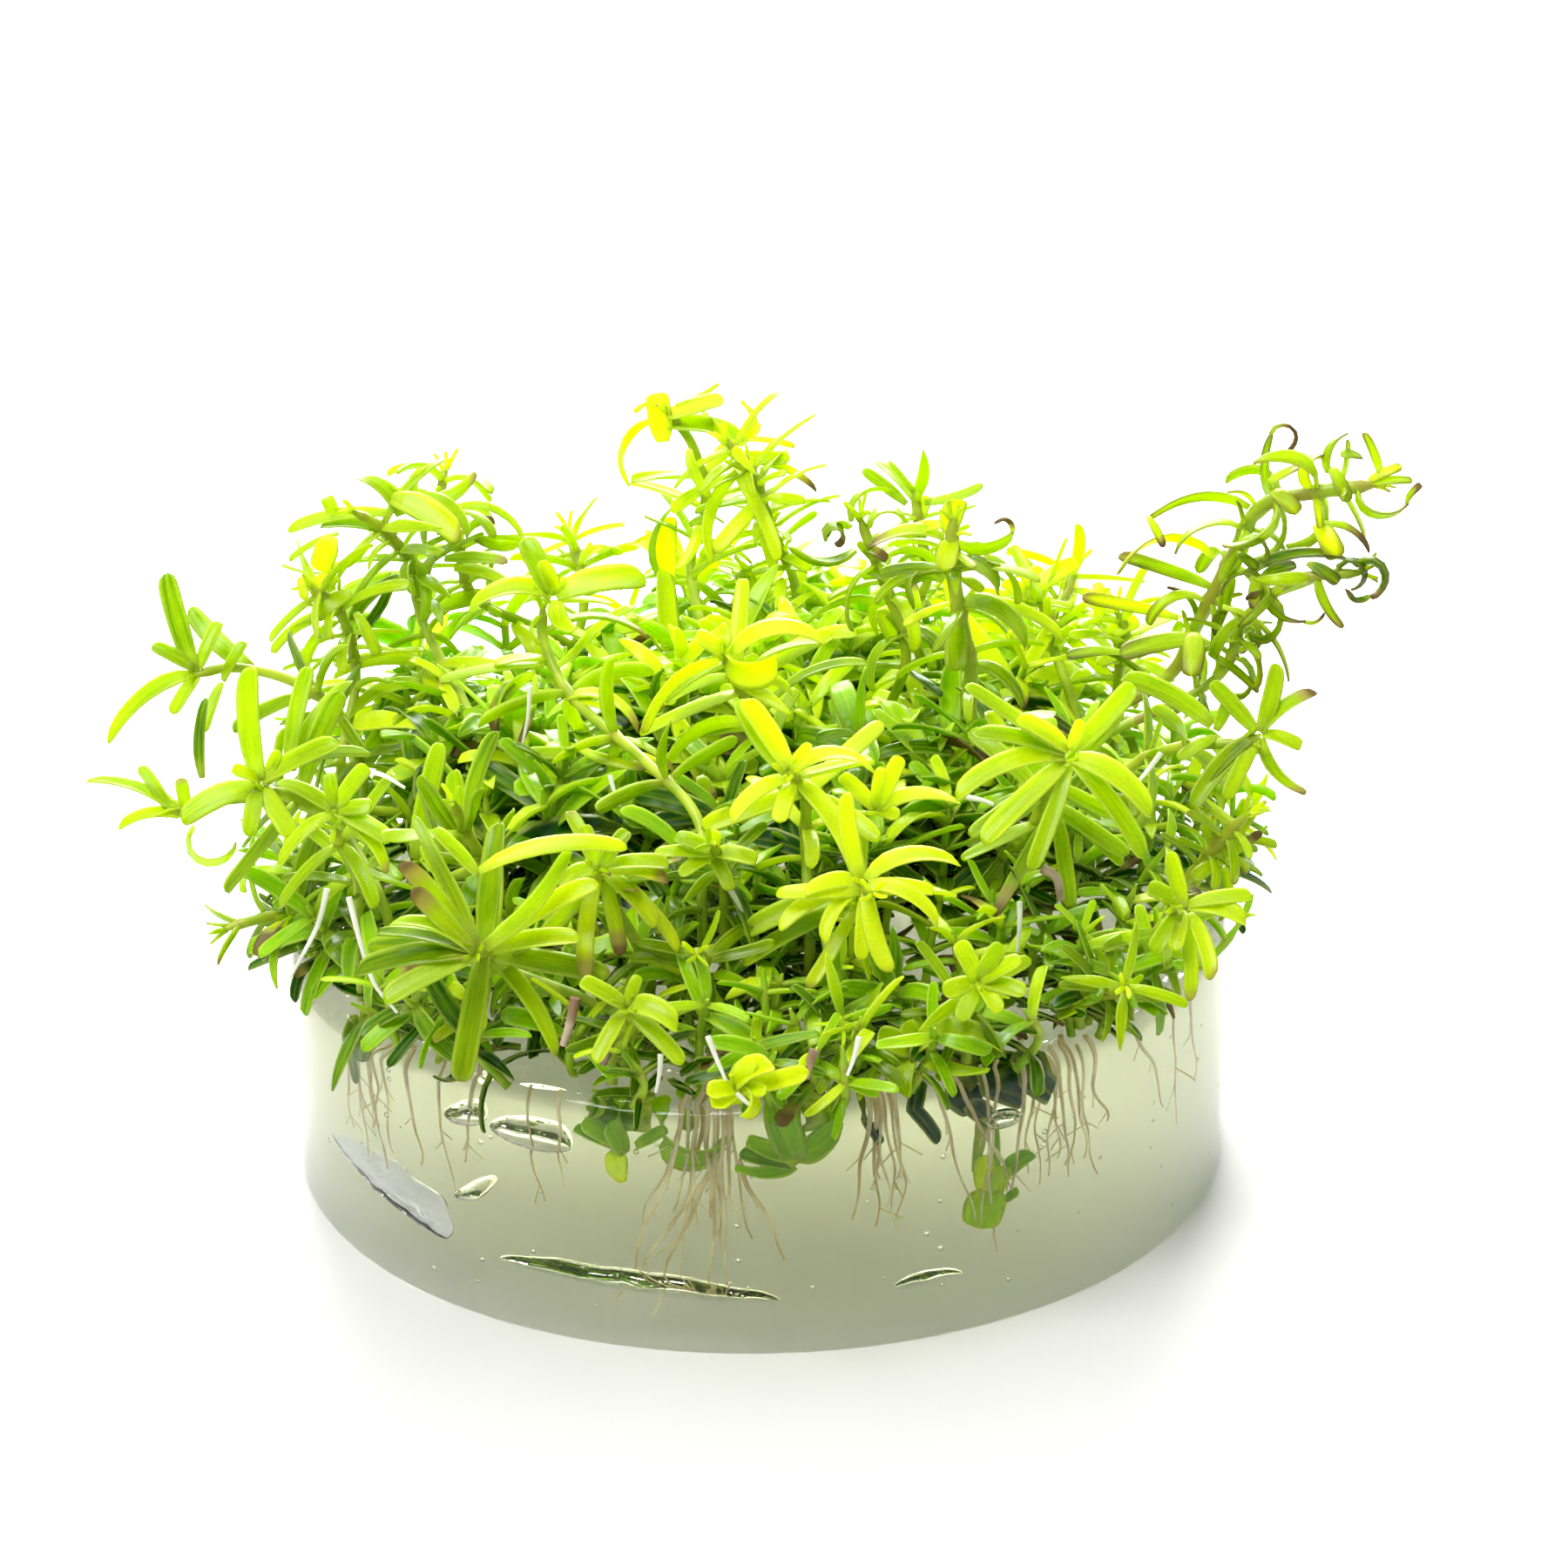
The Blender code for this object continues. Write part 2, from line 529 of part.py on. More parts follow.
def rooted(plan):
    """A shoot whose stem rises from the gel through the lane nearest to its first point."""
    path = plan["path"]
    spot = Vector(plan["root"]) if "root" in plan else lane_point(path[0][0], path[0][1])
    ground = gel_top(spot.x) + GAP
    rise = ground + LOWER_RISE * max(path[0][2] - ground, 1.0)
    lower = [(spot.x, spot.y, ground), (spot.x, spot.y, rise)]
    settings = {key: value for key, value in plan.items() if key not in ("path", "root")}
    bare = Stem([*lower, *path[:1]]).length
    return Shoot([*lower, *path], bare=bare, **settings)


def tuft_reach(middle, direction):
    """How far a tuft may grow from its middle in a direction, up to its neighbours' lanes."""
    reach = TUFT_REACH
    for other in TUFT_MIDDLES.values():
        towards = Vector(other[:2]) - middle
        if towards.length > 1e-6 and towards.dot(direction) > 1e-6:
            half = (towards.length - TUFT_LANE) / 2
            reach = min(reach, half * towards.length / towards.dot(direction))
    along = middle.dot(direction)
    rim = -along + math.sqrt(along ** 2 - middle.length_squared + TUFT_REACH ** 2)
    return min(reach, rim)


def build_tuft(name, x, y, height, shoots_tree, group, finish):
    """A domed tuft with leaf points pulled out of it: the outer form of many small leaves."""
    middle = Vector((x, y))
    rings = []
    for level, wide in TUFT_LEVELS:
        ring = []
        for k in range(TUFT_SIDES):
            angle = 2 * math.pi * (k + 0.5) / TUFT_SIDES
            direction = Vector((math.cos(angle), math.sin(angle)))
            lump = noise.noise(Vector((x + 5 * direction.x, y + 5 * direction.y, 9 * level)))
            reach = tuft_reach(middle, direction) * wide * (1.0 + TUFT_LUMPS_OUT * (lump - 1.0))
            spot = middle + direction * reach
            if level == 0.0 and spot.length > GEL_RADIUS - TUFT_FOOT_INSET:
                spot *= (GEL_RADIUS - TUFT_FOOT_INSET) / spot.length
            lift = height * level * (1.0 + TUFT_LUMPS_UP * lump)
            ring.append(Vector((spot.x, spot.y, gel_top(spot.x) + GAP + lift)))
        rings.append(ring)
    bm = bmesh.new()
    bmesh.ops.create_circle(bm, cap_ends=True, segments=TUFT_SIDES, radius=1.0)
    bm.faces.ensure_lookup_table()
    cap = bm.faces[0]
    order = sorted(cap.verts, key=lambda vert: math.atan2(vert.co.y, vert.co.x) % (2 * math.pi))
    for vert, corner in zip(order, rings[0]):
        vert.co = corner
    walls = []
    for ring in rings[1:]:
        cap, level_walls = pull(bm, cap, ring)
        walls.append(level_walls)
    ground = gel_top(x) + GAP
    crown = bmesh.ops.poke(bm, faces=[cap])
    crown["verts"][0].co = Vector((x, y, ground + TUFT_CROWN * height))
    for level_walls, first, rise in ((walls[1], 0, 0.5), (walls[2], 1, 1.1)):
        level_walls.sort(key=lambda face: face_angle(face, middle))
        for wall in level_walls[first::2]:
            pull_point(bm, wall, middle, rise, ground + height)
    close(bm)
    bmesh.ops.triangulate(bm, faces=bm.faces)
    settle(bm, Vector((x, y, ground)), shoots_tree)
    return add_object(name, bm, (x, y, ground), group, finish)


def face_angle(face, middle):
    spot = face.calc_center_median().to_2d() - middle
    return math.atan2(spot.y, spot.x)


def pull_point(bm, wall, middle, rise, ceiling):
    """Draw one wall of a tuft out and up into a leaf point that stays in the tuft's cell."""
    centre = wall.calc_center_median()
    out = (centre.to_2d() - middle).normalized()
    tip = centre + Vector((out.x, out.y, rise)).normalized() * TUFT_LEAF
    spot = tip.to_2d() - middle
    reach = min(spot.length, tuft_reach(middle, spot.normalized()))
    tip.xy = middle + spot.normalized() * reach
    tip.z = min(tip.z, ceiling)
    corners = [tip + (vert.co - centre) * TUFT_LEAF_TIP for vert in wall.verts]
    pull(bm, wall, corners)


def settle(bm, foot, shoots_tree):
    """Press a tuft's surface in wherever a taller shoot would touch it."""
    for _ in range(SETTLE_ROUNDS):
        bm.faces.ensure_lookup_table()
        touching = BVHTree.FromBMesh(bm).overlap(shoots_tree)
        if not touching:
            return
        verts = {vert for index, _ in touching for vert in bm.faces[index].verts}
        for vert in verts:
            lift = (vert.co.z - gel_top(vert.co.x)) * SETTLE_DOWN
            vert.co.xy = foot.xy + (vert.co.xy - foot.xy) * SETTLE_IN
            vert.co.z = gel_top(vert.co.x) + max(lift, GAP)


def root_form(top, foot, top_radius, foot_radius, extra):
    """A fan of roots as the tapered form that holds it, thin front to back, swollen by extra."""
    bm = bmesh.new()
    top, foot = Vector(top), Vector(foot)
    rings = []
    for centre, radius, end in ((foot, foot_radius, -extra), (top, top_radius, extra)):
        ring = []
        for k in range(ROOT_SIDES):
            angle = 2 * math.pi * (k + 0.5) / ROOT_SIDES
            ring.append(centre + Vector(((radius + extra) * math.cos(angle),
                                         (radius * ROOT_FLAT + extra) * math.sin(angle), end)))
        rings.append(ring)
    bmesh.ops.create_circle(bm, cap_ends=True, segments=ROOT_SIDES, radius=1.0)
    bm.faces.ensure_lookup_table()
    order = sorted(bm.verts, key=lambda vert: math.atan2(vert.co.y, vert.co.x) % (2 * math.pi))
    for vert, corner in zip(order, rings[0]):
        vert.co = corner
    pull(bm, bm.faces[0], rings[1])
    close(bm)
    return bm


def pocket_cutter(name, points, group):
    """A cutter that wraps some points and opens through the gel's top."""
    bm = bmesh.new()
    for point in points:
        bm.verts.new(point)
        bm.verts.new((point.x, point.y, GEL_TOP + POCKET_ABOVE))
    bmesh.ops.convex_hull(bm, input=bm.verts)
    loose = [vert for vert in bm.verts if not vert.link_faces]
    bmesh.ops.delete(bm, geom=loose, context="VERTS")
    bmesh.ops.dissolve_limit(bm, angle_limit=math.radians(1), verts=bm.verts, edges=bm.edges)
    bmesh.ops.recalc_face_normals(bm, faces=bm.faces)
    return add_cutter(name, bm, group)


def add_cutter(name, bm, group):
    cutter = add_object(name, bm, (0, 0, 0), group)
    cutter.hide_render = True
    cutter.display_type = "WIRE"
    return cutter


def wall_cut(name, around, height, length, tall, deep, tilt, group):
    """A lens-shaped cutter bent round the gel's wall."""
    bm = bmesh.new()
    bmesh.ops.create_uvsphere(bm, u_segments=SPLIT_SIDES, v_segments=SPLIT_SIDES, radius=0.5)
    bmesh.ops.rotate(bm, verts=bm.verts, matrix=Matrix.Rotation(math.radians(90), 3, "Y"))
    lean = math.tan(math.radians(tilt))
    for vert in bm.verts:
        along = vert.co.x * length
        out = vert.co.y * deep
        up = vert.co.z * tall + along * lean
        angle = math.radians(around) + along / GEL_RADIUS
        vert.co = Vector(((GEL_RADIUS + out) * math.cos(angle),
                          (GEL_RADIUS + out) * math.sin(angle), height + up))
    bmesh.ops.recalc_face_normals(bm, faces=bm.faces)
    return add_cutter(name, bm, group)


def build_gel(group, finish):
    """The gel as a turned profile, with its top sunk to the left."""
    profile = [(0.0, GEL_TOP), (GEL_RADIUS - GEL_EDGE, GEL_TOP),
               (GEL_RADIUS - 0.25 * GEL_EDGE, GEL_TOP - 0.25 * GEL_EDGE),
               (GEL_RADIUS, GEL_TOP - GEL_EDGE), (GEL_RADIUS, GEL_EDGE),
               (GEL_RADIUS - 0.3 * GEL_EDGE, 0.3 * GEL_EDGE), (GEL_RADIUS - GEL_EDGE, 0.0),
               (0.0, 0.0)]
    bm = bmesh.new()
    verts = [bm.verts.new((x, 0.0, z)) for x, z in profile]
    for a, b in zip(verts, verts[1:]):
        bm.edges.new((a, b))
    blank = add_object("gel_profile", bm, (0, 0, 0), group)
    turn = blank.modifiers.new("turn", "SCREW")
    turn.steps = GEL_SIDES
    turn.render_steps = GEL_SIDES
    turn.use_merge_vertices = True
    turn.merge_threshold = 0.00001
    mesh = bpy.data.meshes.new_from_object(
        blank.evaluated_get(bpy.context.evaluated_depsgraph_get()))
    bpy.data.objects.remove(blank, do_unlink=True)
    for vert in mesh.vertices:
        if vert.co.z > 0.5 * GEL_TOP * MM:
            vert.co.z += (gel_top(vert.co.x / MM) - GEL_TOP) * MM
    mesh.materials.clear()
    mesh.materials.append(finish)
    gel = bpy.data.objects.new("gel_block", mesh)
    group.objects.link(gel)
    mesh.shade_smooth()
    mesh.set_sharp_from_angle(angle=math.radians(40))
    return gel


def cut(item, cutters):
    for cutter in cutters:
        tool = item.modifiers.new(cutter.name, "BOOLEAN")
        tool.operation = "DIFFERENCE"
        tool.object = cutter


def main():
    clear_scene()
    group = new_collection("rotala_wayanad_in_gel")
    cutter_group = new_collection("cutters")
    gel = build_gel(group, make_material("gel", GEL_COLOUR, 0.08, 0.9))

    shoots = {name: rooted(plan) for name, plan in SHOOTS.items()}
    gel_tree = BVHTree.FromPolygons(*gel_skin())
    for name, shoot in shoots.items():
        others = [other.stem_skin(0.0) for key, other in shoots.items() if key != name]
        others += [leaf.skin() for key, other in shoots.items() if key != name
                   for leaf in other.leaves.values()]
        shoot.grow_leaves([tree_of(others), gel_tree])

    swollen = [shoot.stem_skin(GAP * 1.5) for shoot in shoots.values()]
    swollen += [leaf.skin(GAP) for shoot in shoots.values() for leaf in shoot.leaves.values()]
    shoots_tree = tree_of(swollen)
    for name, shoot in shoots.items():
        shoot.build(name, group, make_material(name, SHOOT_COLOUR, 0.35))
    for name, (x, y, height) in TUFT_MIDDLES.items():
        build_tuft(name, x, y, height, shoots_tree, group,
                   make_material(name, UNDERGROWTH_COLOUR, 0.45))

    cutters = []
    for name, (top, foot, top_radius, foot_radius) in ROOT_FANS.items():
        roots = root_form(top, foot, top_radius, foot_radius, 0.0)
        add_object(name, roots, top, group, make_material(name, ROOT_COLOUR, 0.5))
        hole = root_form(top, foot, top_radius, foot_radius, GAP)
        points = [vert.co.copy() for vert in hole.verts]
        hole.free()
        cutters.append(pocket_cutter(name + "_pocket", points, cutter_group))
    for name, plan in SUNKEN_SPRIGS.items():
        sprig = Shoot(**plan)
        sprig.grow_leaves([])
        skins = [sprig.stem_skin(GAP)] + [leaf.skin(GAP) for leaf in sprig.leaves.values()]
        points = [corner for corners, _ in skins for corner in corners]
        sprig.build(name, group, make_material(name, SHOOT_COLOUR, 0.35))
        cutters.append(pocket_cutter(name + "_pocket", points, cutter_group))
    for name, (around, height, length, tall, deep, tilt) in WALL_CUTS.items():
        cutters.append(wall_cut(name, around, height, length, tall, deep, tilt, cutter_group))
    cut(gel, cutters)


def gel_skin():
    """The gel's outline as plain rings, for keeping leaves off it."""
    corners, faces = [], []
    for part, radius in ((0.0, GEL_RADIUS), (1.0, GEL_RADIUS), (1.0, 1.0)):
        for k in range(GEL_SIDES):
            angle = 2 * math.pi * k / GEL_SIDES
            x, y = radius * math.cos(angle), radius * math.sin(angle)
            corners.append(Vector((x, y, part * gel_top(x))))
    for ring in range(2):
        for k in range(GEL_SIDES):
            a, b = GEL_SIDES * ring + k, GEL_SIDES * ring + (k + 1) % GEL_SIDES
            faces.append((a, b, b + GEL_SIDES, a + GEL_SIDES))
    return corners, faces


main()
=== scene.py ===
import math
import random

import bmesh
import bpy
from mathutils import Matrix, Vector, noise
from mathutils.bvhtree import BVHTree


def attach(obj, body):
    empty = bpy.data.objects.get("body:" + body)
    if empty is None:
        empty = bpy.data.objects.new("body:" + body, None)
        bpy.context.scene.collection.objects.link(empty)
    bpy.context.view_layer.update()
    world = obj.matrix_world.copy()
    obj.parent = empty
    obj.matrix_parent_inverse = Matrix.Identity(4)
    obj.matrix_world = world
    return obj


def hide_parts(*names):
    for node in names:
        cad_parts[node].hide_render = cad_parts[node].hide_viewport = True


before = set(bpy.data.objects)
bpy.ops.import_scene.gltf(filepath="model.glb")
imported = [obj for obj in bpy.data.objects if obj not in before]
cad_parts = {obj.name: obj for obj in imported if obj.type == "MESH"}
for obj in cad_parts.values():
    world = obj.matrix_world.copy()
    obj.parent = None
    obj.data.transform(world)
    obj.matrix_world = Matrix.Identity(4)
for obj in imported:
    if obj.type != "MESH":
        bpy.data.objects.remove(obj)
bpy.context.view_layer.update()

# Rotala wayanad grown in tissue culture, on its block of clear nutrient gel.
# Sizes in the dictionaries are millimetres, the scene is in metres, +Z is up.
mm = 0.001
scene = bpy.context.scene
rng = random.Random(7)
goldenAngle = math.radians(137.508)

# Camera and studio

camera = {
    "lens": 90.0,
    "sensor": 36.0,
    "target": (2.34, 0.0, 32.1),
    "distance": 331.9,
    "elevation": 21.58,
    "roll": 0.0129,
    "clipStart": 10.0,
    "clipEnd": 20000.0,
}

studio = {
    "floorRadius": 6000.0,
    "floorHeight": 0.05,            # the wet gel lies this deep in the floor's surface
    "floorColour": (0.63, 0.63, 0.635),
    "floorRoughness": 0.6,
    "floorShine": 0.2,
    "skyColour": (1.0, 1.0, 1.0),
    "skyStrength": (0.3, 1.05),     # in front and at the back
}

# name: place, aim, size in millimetres, power in watts, colour
lamps = {
    "backPanel": ((0, 465, 270), (0, 10, 12), 400, 8.0, (1.0, 1.0, 0.98)),
    "overheadPanel": ((-60, 120, 620), (0, 0, 30), 480, 1.6, (1.0, 1.0, 1.0)),
    "frontPanel": ((-190, -240, 560), (0, 0, 30), 300, 3.4, (1.0, 0.99, 0.97)),
}


def placeCamera():
    lens = bpy.data.cameras.new("camera")
    lens.lens = camera["lens"]
    lens.sensor_width = camera["sensor"]
    lens.clip_start = camera["clipStart"] * mm
    lens.clip_end = camera["clipEnd"] * mm
    viewer = bpy.data.objects.new("camera", lens)
    scene.collection.objects.link(viewer)
    tilt = math.radians(camera["elevation"])
    ahead = Vector((0.0, math.cos(tilt), -math.sin(tilt)))
    place = Vector(camera["target"]) - ahead * camera["distance"]
    viewer.matrix_world = (Matrix.Translation(place * mm)
                           @ ahead.to_track_quat("-Z", "Y").to_matrix().to_4x4()
                           @ Matrix.Rotation(-camera["roll"], 4, "Z"))
    scene.camera = viewer


def buildStudio():
    bm = bmesh.new()
    bmesh.ops.create_circle(bm, cap_ends=True, segments=96, radius=studio["floorRadius"] * mm)
    bmesh.ops.translate(bm, verts=bm.verts, vec=(0, 0, studio["floorHeight"] * mm))
    floor = newPiece("studio_floor", meshFrom(bm, "studio_floor"))
    floor.data.materials.append(paleFloorFinish())
    world = bpy.data.worlds.new("studio")
    world.use_nodes = True
    sky = world.node_tree.nodes["Background"]
    sky.inputs["Color"].default_value = (*studio["skyColour"], 1.0)
    around = addNode(world.node_tree, "ShaderNodeTexCoord").outputs["Generated"]
    back = addNode(world.node_tree, "ShaderNodeSeparateXYZ", {0: around}).outputs[1]
    low, high = studio["skyStrength"]
    strength = addNode(world.node_tree, "ShaderNodeMapRange", {
        "Value": back, "From Min": -1.0, "From Max": 1.0, "To Min": low, "To Max": high})
    world.node_tree.links.new(strength.outputs[0], sky.inputs["Strength"])
    scene.world = world
    for name, (place, aim, size, power, colour) in lamps.items():
        light = bpy.data.lights.new(name, "AREA")
        light.shape = "DISK"
        light.size = size * mm
        light.energy = power
        light.color = colour
        lamp = bpy.data.objects.new(name, light)
        lamp.location = Vector(place) * mm
        turn = (Vector(aim) - Vector(place)).to_track_quat("-Z", "Y")
        lamp.rotation_euler = turn.to_euler()
        scene.collection.objects.link(lamp)
    scene.view_settings.view_transform = "Standard"
    print("studio and camera stand")


# Helpers for meshes and node trees


def meshFrom(bm, name):
    mesh = bpy.data.meshes.new(name)
    bm.to_mesh(mesh)
    bm.free()
    return mesh


def newPiece(name, mesh):
    piece = bpy.data.objects.new(name, mesh)
    scene.collection.objects.link(piece)
    return piece


def plug(tree, value, socket):
    if isinstance(value, bpy.types.NodeSocket):
        tree.links.new(value, socket)
    elif isinstance(value, tuple) and socket.type == "RGBA":
        socket.default_value = (*value, 1.0)
    else:
        socket.default_value = value


def addNode(tree, kind, inputs=None, **settings):
    node = tree.nodes.new(kind)
    count = len(tree.nodes)
    node.location = (count % 10 * 200, -(count // 10) * 260)
    for key, value in settings.items():
        setattr(node, key, value)
    for key, value in (inputs or {}).items():
        plug(tree, value, node.inputs[key])
    return node


def maths(tree, operation, *values):
    return addNode(tree, "ShaderNodeMath", dict(enumerate(values)),
                   operation=operation).outputs[0]


def product(tree, first, *others):
    for other in others:
        first = maths(tree, "MULTIPLY", first, other)
    return first


def total(tree, first, *others):
    for other in others:
        first = maths(tree, "ADD", first, other)
    return first


def aroundZero(tree, noiseValue, amount):
    return product(tree, amount, maths(tree, "SUBTRACT", noiseValue, 0.5))


def vectorMaths(tree, operation, first, second):
    key = "Scale" if operation == "SCALE" else 1
    return addNode(tree, "ShaderNodeVectorMath", {0: first, key: second},
                   operation=operation).outputs[0]


def vectorSum(tree, first, *parts):
    # first plus each direction by its amount
    for direction, amount in parts:
        first = vectorMaths(tree, "ADD", first, vectorMaths(tree, "SCALE", direction, amount))
    return first


def noiseTexture(tree, spot, scale, detail):
    return addNode(tree, "ShaderNodeTexNoise", {"Vector": spot, "Scale": scale,
                                                "Detail": detail}).outputs[0]


def bumpFrom(tree, height, strength, depth):
    return addNode(tree, "ShaderNodeBump", {"Height": height, "Strength": strength,
                                            "Distance": depth * mm}).outputs[0]


def smoothStep(tree, value, low, high):
    return addNode(tree, "ShaderNodeMapRange",
                   {"Value": value, "From Min": low, "From Max": high},
                   interpolation_type="SMOOTHSTEP").outputs[0]


def mixColour(tree, factor, first, second, blend="MIX"):
    node = addNode(tree, "ShaderNodeMix", data_type="RGBA", blend_type=blend)
    plug(tree, factor, node.inputs[0])
    plug(tree, first, node.inputs[6])
    plug(tree, second, node.inputs[7])
    return node.outputs[2]


def newGroup(name, kind, inputs, outputs):
    tree = bpy.data.node_groups.new(name, kind)
    for key, sort, value in inputs:
        socket = tree.interface.new_socket(key, in_out="INPUT", socket_type="NodeSocket" + sort)
        if value is not None:
            socket.default_value = (*value, 1.0) if sort == "Color" else value
    for key, sort in outputs:
        tree.interface.new_socket(key, in_out="OUTPUT", socket_type="NodeSocket" + sort)
    given = tree.nodes.new("NodeGroupInput").outputs
    result = tree.nodes.new("NodeGroupOutput").inputs
    return tree, given, result


def readAttribute(tree, name, kind="FLOAT"):
    return addNode(tree, "GeometryNodeInputNamedAttribute", {"Name": name},
                   data_type=kind).outputs["Attribute"]


def storeAttribute(tree, geometry, name, value):
    return addNode(tree, "GeometryNodeStoreNamedAttribute",
                   {"Geometry": geometry, "Name": name, "Value": value},
                   data_type="FLOAT", domain="POINT").outputs[0]


def widthCurve(tree, along, points):
    node = addNode(tree, "ShaderNodeFloatCurve", {"Value": along})
    curve = node.mapping.curves[0]
    curve.points[0].location = points[0]
    curve.points[1].location = points[-1]
    for point in points[1:-1]:
        curve.points.new(*point)
    node.mapping.update()
    return node.outputs[0]


# One tree grows every shoot, sprig and root, from marked points and lines

leafForm = {
    "sides": 8,
    "rings": 9,
    "tipCrowding": 1.5,             # draws the rings towards the tip, so that it is round
    "thickness": 0.44,
    "thinning": 0.27,               # how much thinner the tip is than the foot
    "ripple": 0.03,
    "waves": (1.7, 0.5),            # ripples along and across a leaf
    "waveShift": 731.0,             # gives every leaf ripples of its own
    "curlLeast": 0.03,              # a leaf's bend needs a radius
    "swaySpread": 0.12,
    "twistSpread": 0.55,
    "cupRange": (0.1, 0.7),
    "tips": (0, 0, 0.1, 0.2, 0.9),  # 0 is round and 1 is pointed
    "strap": ((0, 0.50), (0.12, 0.74), (0.35, 0.95), (0.65, 1.0), (0.87, 0.97), (0.955, 0.78),
              (1, 0.30)),
    "pointed": ((0, 0.40), (0.15, 0.66), (0.35, 1.0), (0.60, 0.86), (0.82, 0.52), (1, 0.07)),
}
seenByFinishes = ("tone", "age", "wine", "joint")
leafNumbers = ("length", "width", "curl", "sway", "twist", "cup", "pointed", "tone", "age", "wine")
lineNumbers = ("radius", "joint")


def growingTree():
    tree, given, result = newGroup("growShoots", "GeometryNodeTree", (
        ("Geometry", "Geometry", None),
        ("Leaf Sides", "Int", leafForm["sides"]),
        ("Leaf Rings", "Int", leafForm["rings"]),
        ("Leaf Thickness", "Float", leafForm["thickness"] * mm),
        ("Leaf Ripple", "Float", leafForm["ripple"]),
        ("Stem Sides", "Int", 8),
        ("Leaf Material", "Material", None),
        ("Stem Material", "Material", None)), (("Geometry", "Geometry"),))
    parts = addNode(tree, "GeometryNodeSeparateGeometry",
                    {"Geometry": given["Geometry"], "Selection": readAttribute(tree, "isLeaf")},
                    domain="POINT")

    # a unit leaf: a closed tube along Z, each corner marked with its place on the leaf
    tube = addNode(tree, "GeometryNodeMeshCylinder",
                   {"Vertices": given["Leaf Sides"], "Side Segments": given["Leaf Rings"],
                    "Radius": 1.0, "Depth": 1.0})
    spot = addNode(tree, "ShaderNodeSeparateXYZ",
                   {0: addNode(tree, "GeometryNodeInputPosition").outputs[0]}).outputs
    left = maths(tree, "SUBTRACT", 0.5, spot[2])
    along = maths(tree, "SUBTRACT", 1.0, maths(tree, "POWER", left, leafForm["tipCrowding"]))
    unit = tube.outputs["Mesh"]
    for name, value in (("alongLeaf", along), ("acrossLeaf", spot[0]), ("overLeaf", spot[1])):
        unit = storeAttribute(tree, unit, name, value)
    copies = addNode(tree, "GeometryNodeInstanceOnPoints",
                     {"Points": parts.outputs["Selection"], "Instance": unit})
    leaves = addNode(tree, "GeometryNodeRealizeInstances", {0: copies.outputs[0]}).outputs[0]

    # every leaf bends back, sways, twists and folds along its middle by its own numbers
    along, across, over = (readAttribute(tree, name)
                           for name in ("alongLeaf", "acrossLeaf", "overLeaf"))
    number = {name: readAttribute(tree, name) for name in leafNumbers}
    foot, ahead, up = (readAttribute(tree, name, "FLOAT_VECTOR")
                       for name in ("foot", "ahead", "up"))
    side = vectorMaths(tree, "CROSS_PRODUCT", up, ahead)
    bend = maths(tree, "MULTIPLY", number["curl"], along)
    reach = maths(tree, "DIVIDE", number["length"], number["curl"])
    forward = maths(tree, "MULTIPLY", reach, maths(tree, "SINE", bend))
    cosine = maths(tree, "COSINE", bend)
    drop = maths(tree, "MULTIPLY", reach, maths(tree, "SUBTRACT", cosine, 1.0))
    drift = product(tree, number["sway"], number["length"], product(tree, along, along))
    middle = vectorSum(tree, foot, (ahead, forward), (up, drop), (side, drift))
    normal = vectorSum(tree, vectorMaths(tree, "SCALE", up, cosine),
                       (ahead, maths(tree, "SINE", bend)))
    twist = maths(tree, "MULTIPLY", number["twist"], along)
    turnCos = maths(tree, "COSINE", twist)
    turnSin = maths(tree, "SINE", twist)
    wide = vectorSum(tree, vectorMaths(tree, "SCALE", side, turnCos), (normal, turnSin))
    high = vectorMaths(tree, "SUBTRACT", vectorMaths(tree, "SCALE", normal, turnCos),
                       vectorMaths(tree, "SCALE", side, turnSin))
    strap = widthCurve(tree, along, leafForm["strap"])
    lance = widthCurve(tree, along, leafForm["pointed"])
    outline = addNode(tree, "ShaderNodeMix", {0: number["pointed"], 2: strap, 3: lance},
                      data_type="FLOAT").outputs[0]
    half = product(tree, number["width"], 0.5, outline)
    reachOut = maths(tree, "MULTIPLY", across, half)
    thin = maths(tree, "SUBTRACT", 0.5, maths(tree, "MULTIPLY", along, leafForm["thinning"]))
    thick = product(tree, over, given["Leaf Thickness"], thin)
    fold = product(tree, number["cup"], half, maths(tree, "ABSOLUTE", across))
    waves = [maths(tree, "MULTIPLY", value, count)
             for value, count in zip((along, across), leafForm["waves"])]
    waveSpot = addNode(tree, "ShaderNodeCombineXYZ", dict(enumerate(waves))).outputs[0]
    ownWaves = vectorSum(tree, waveSpot, (foot, leafForm["waveShift"]))
    wave = aroundZero(tree, noiseTexture(tree, ownWaves, 1.0, 1.0),
                      product(tree, number["length"], given["Leaf Ripple"]))
    lift = total(tree, thick, fold, wave)
    place = vectorMaths(tree, "ADD", middle, vectorSum(
        tree, vectorMaths(tree, "SCALE", wide, reachOut), (high, lift)))
    leaves = addNode(tree, "GeometryNodeSetPosition",
                     {"Geometry": leaves, "Position": place}).outputs[0]
    leaves = addNode(tree, "GeometryNodeSetMaterial",
                     {"Geometry": leaves, "Material": given["Leaf Material"]}).outputs[0]

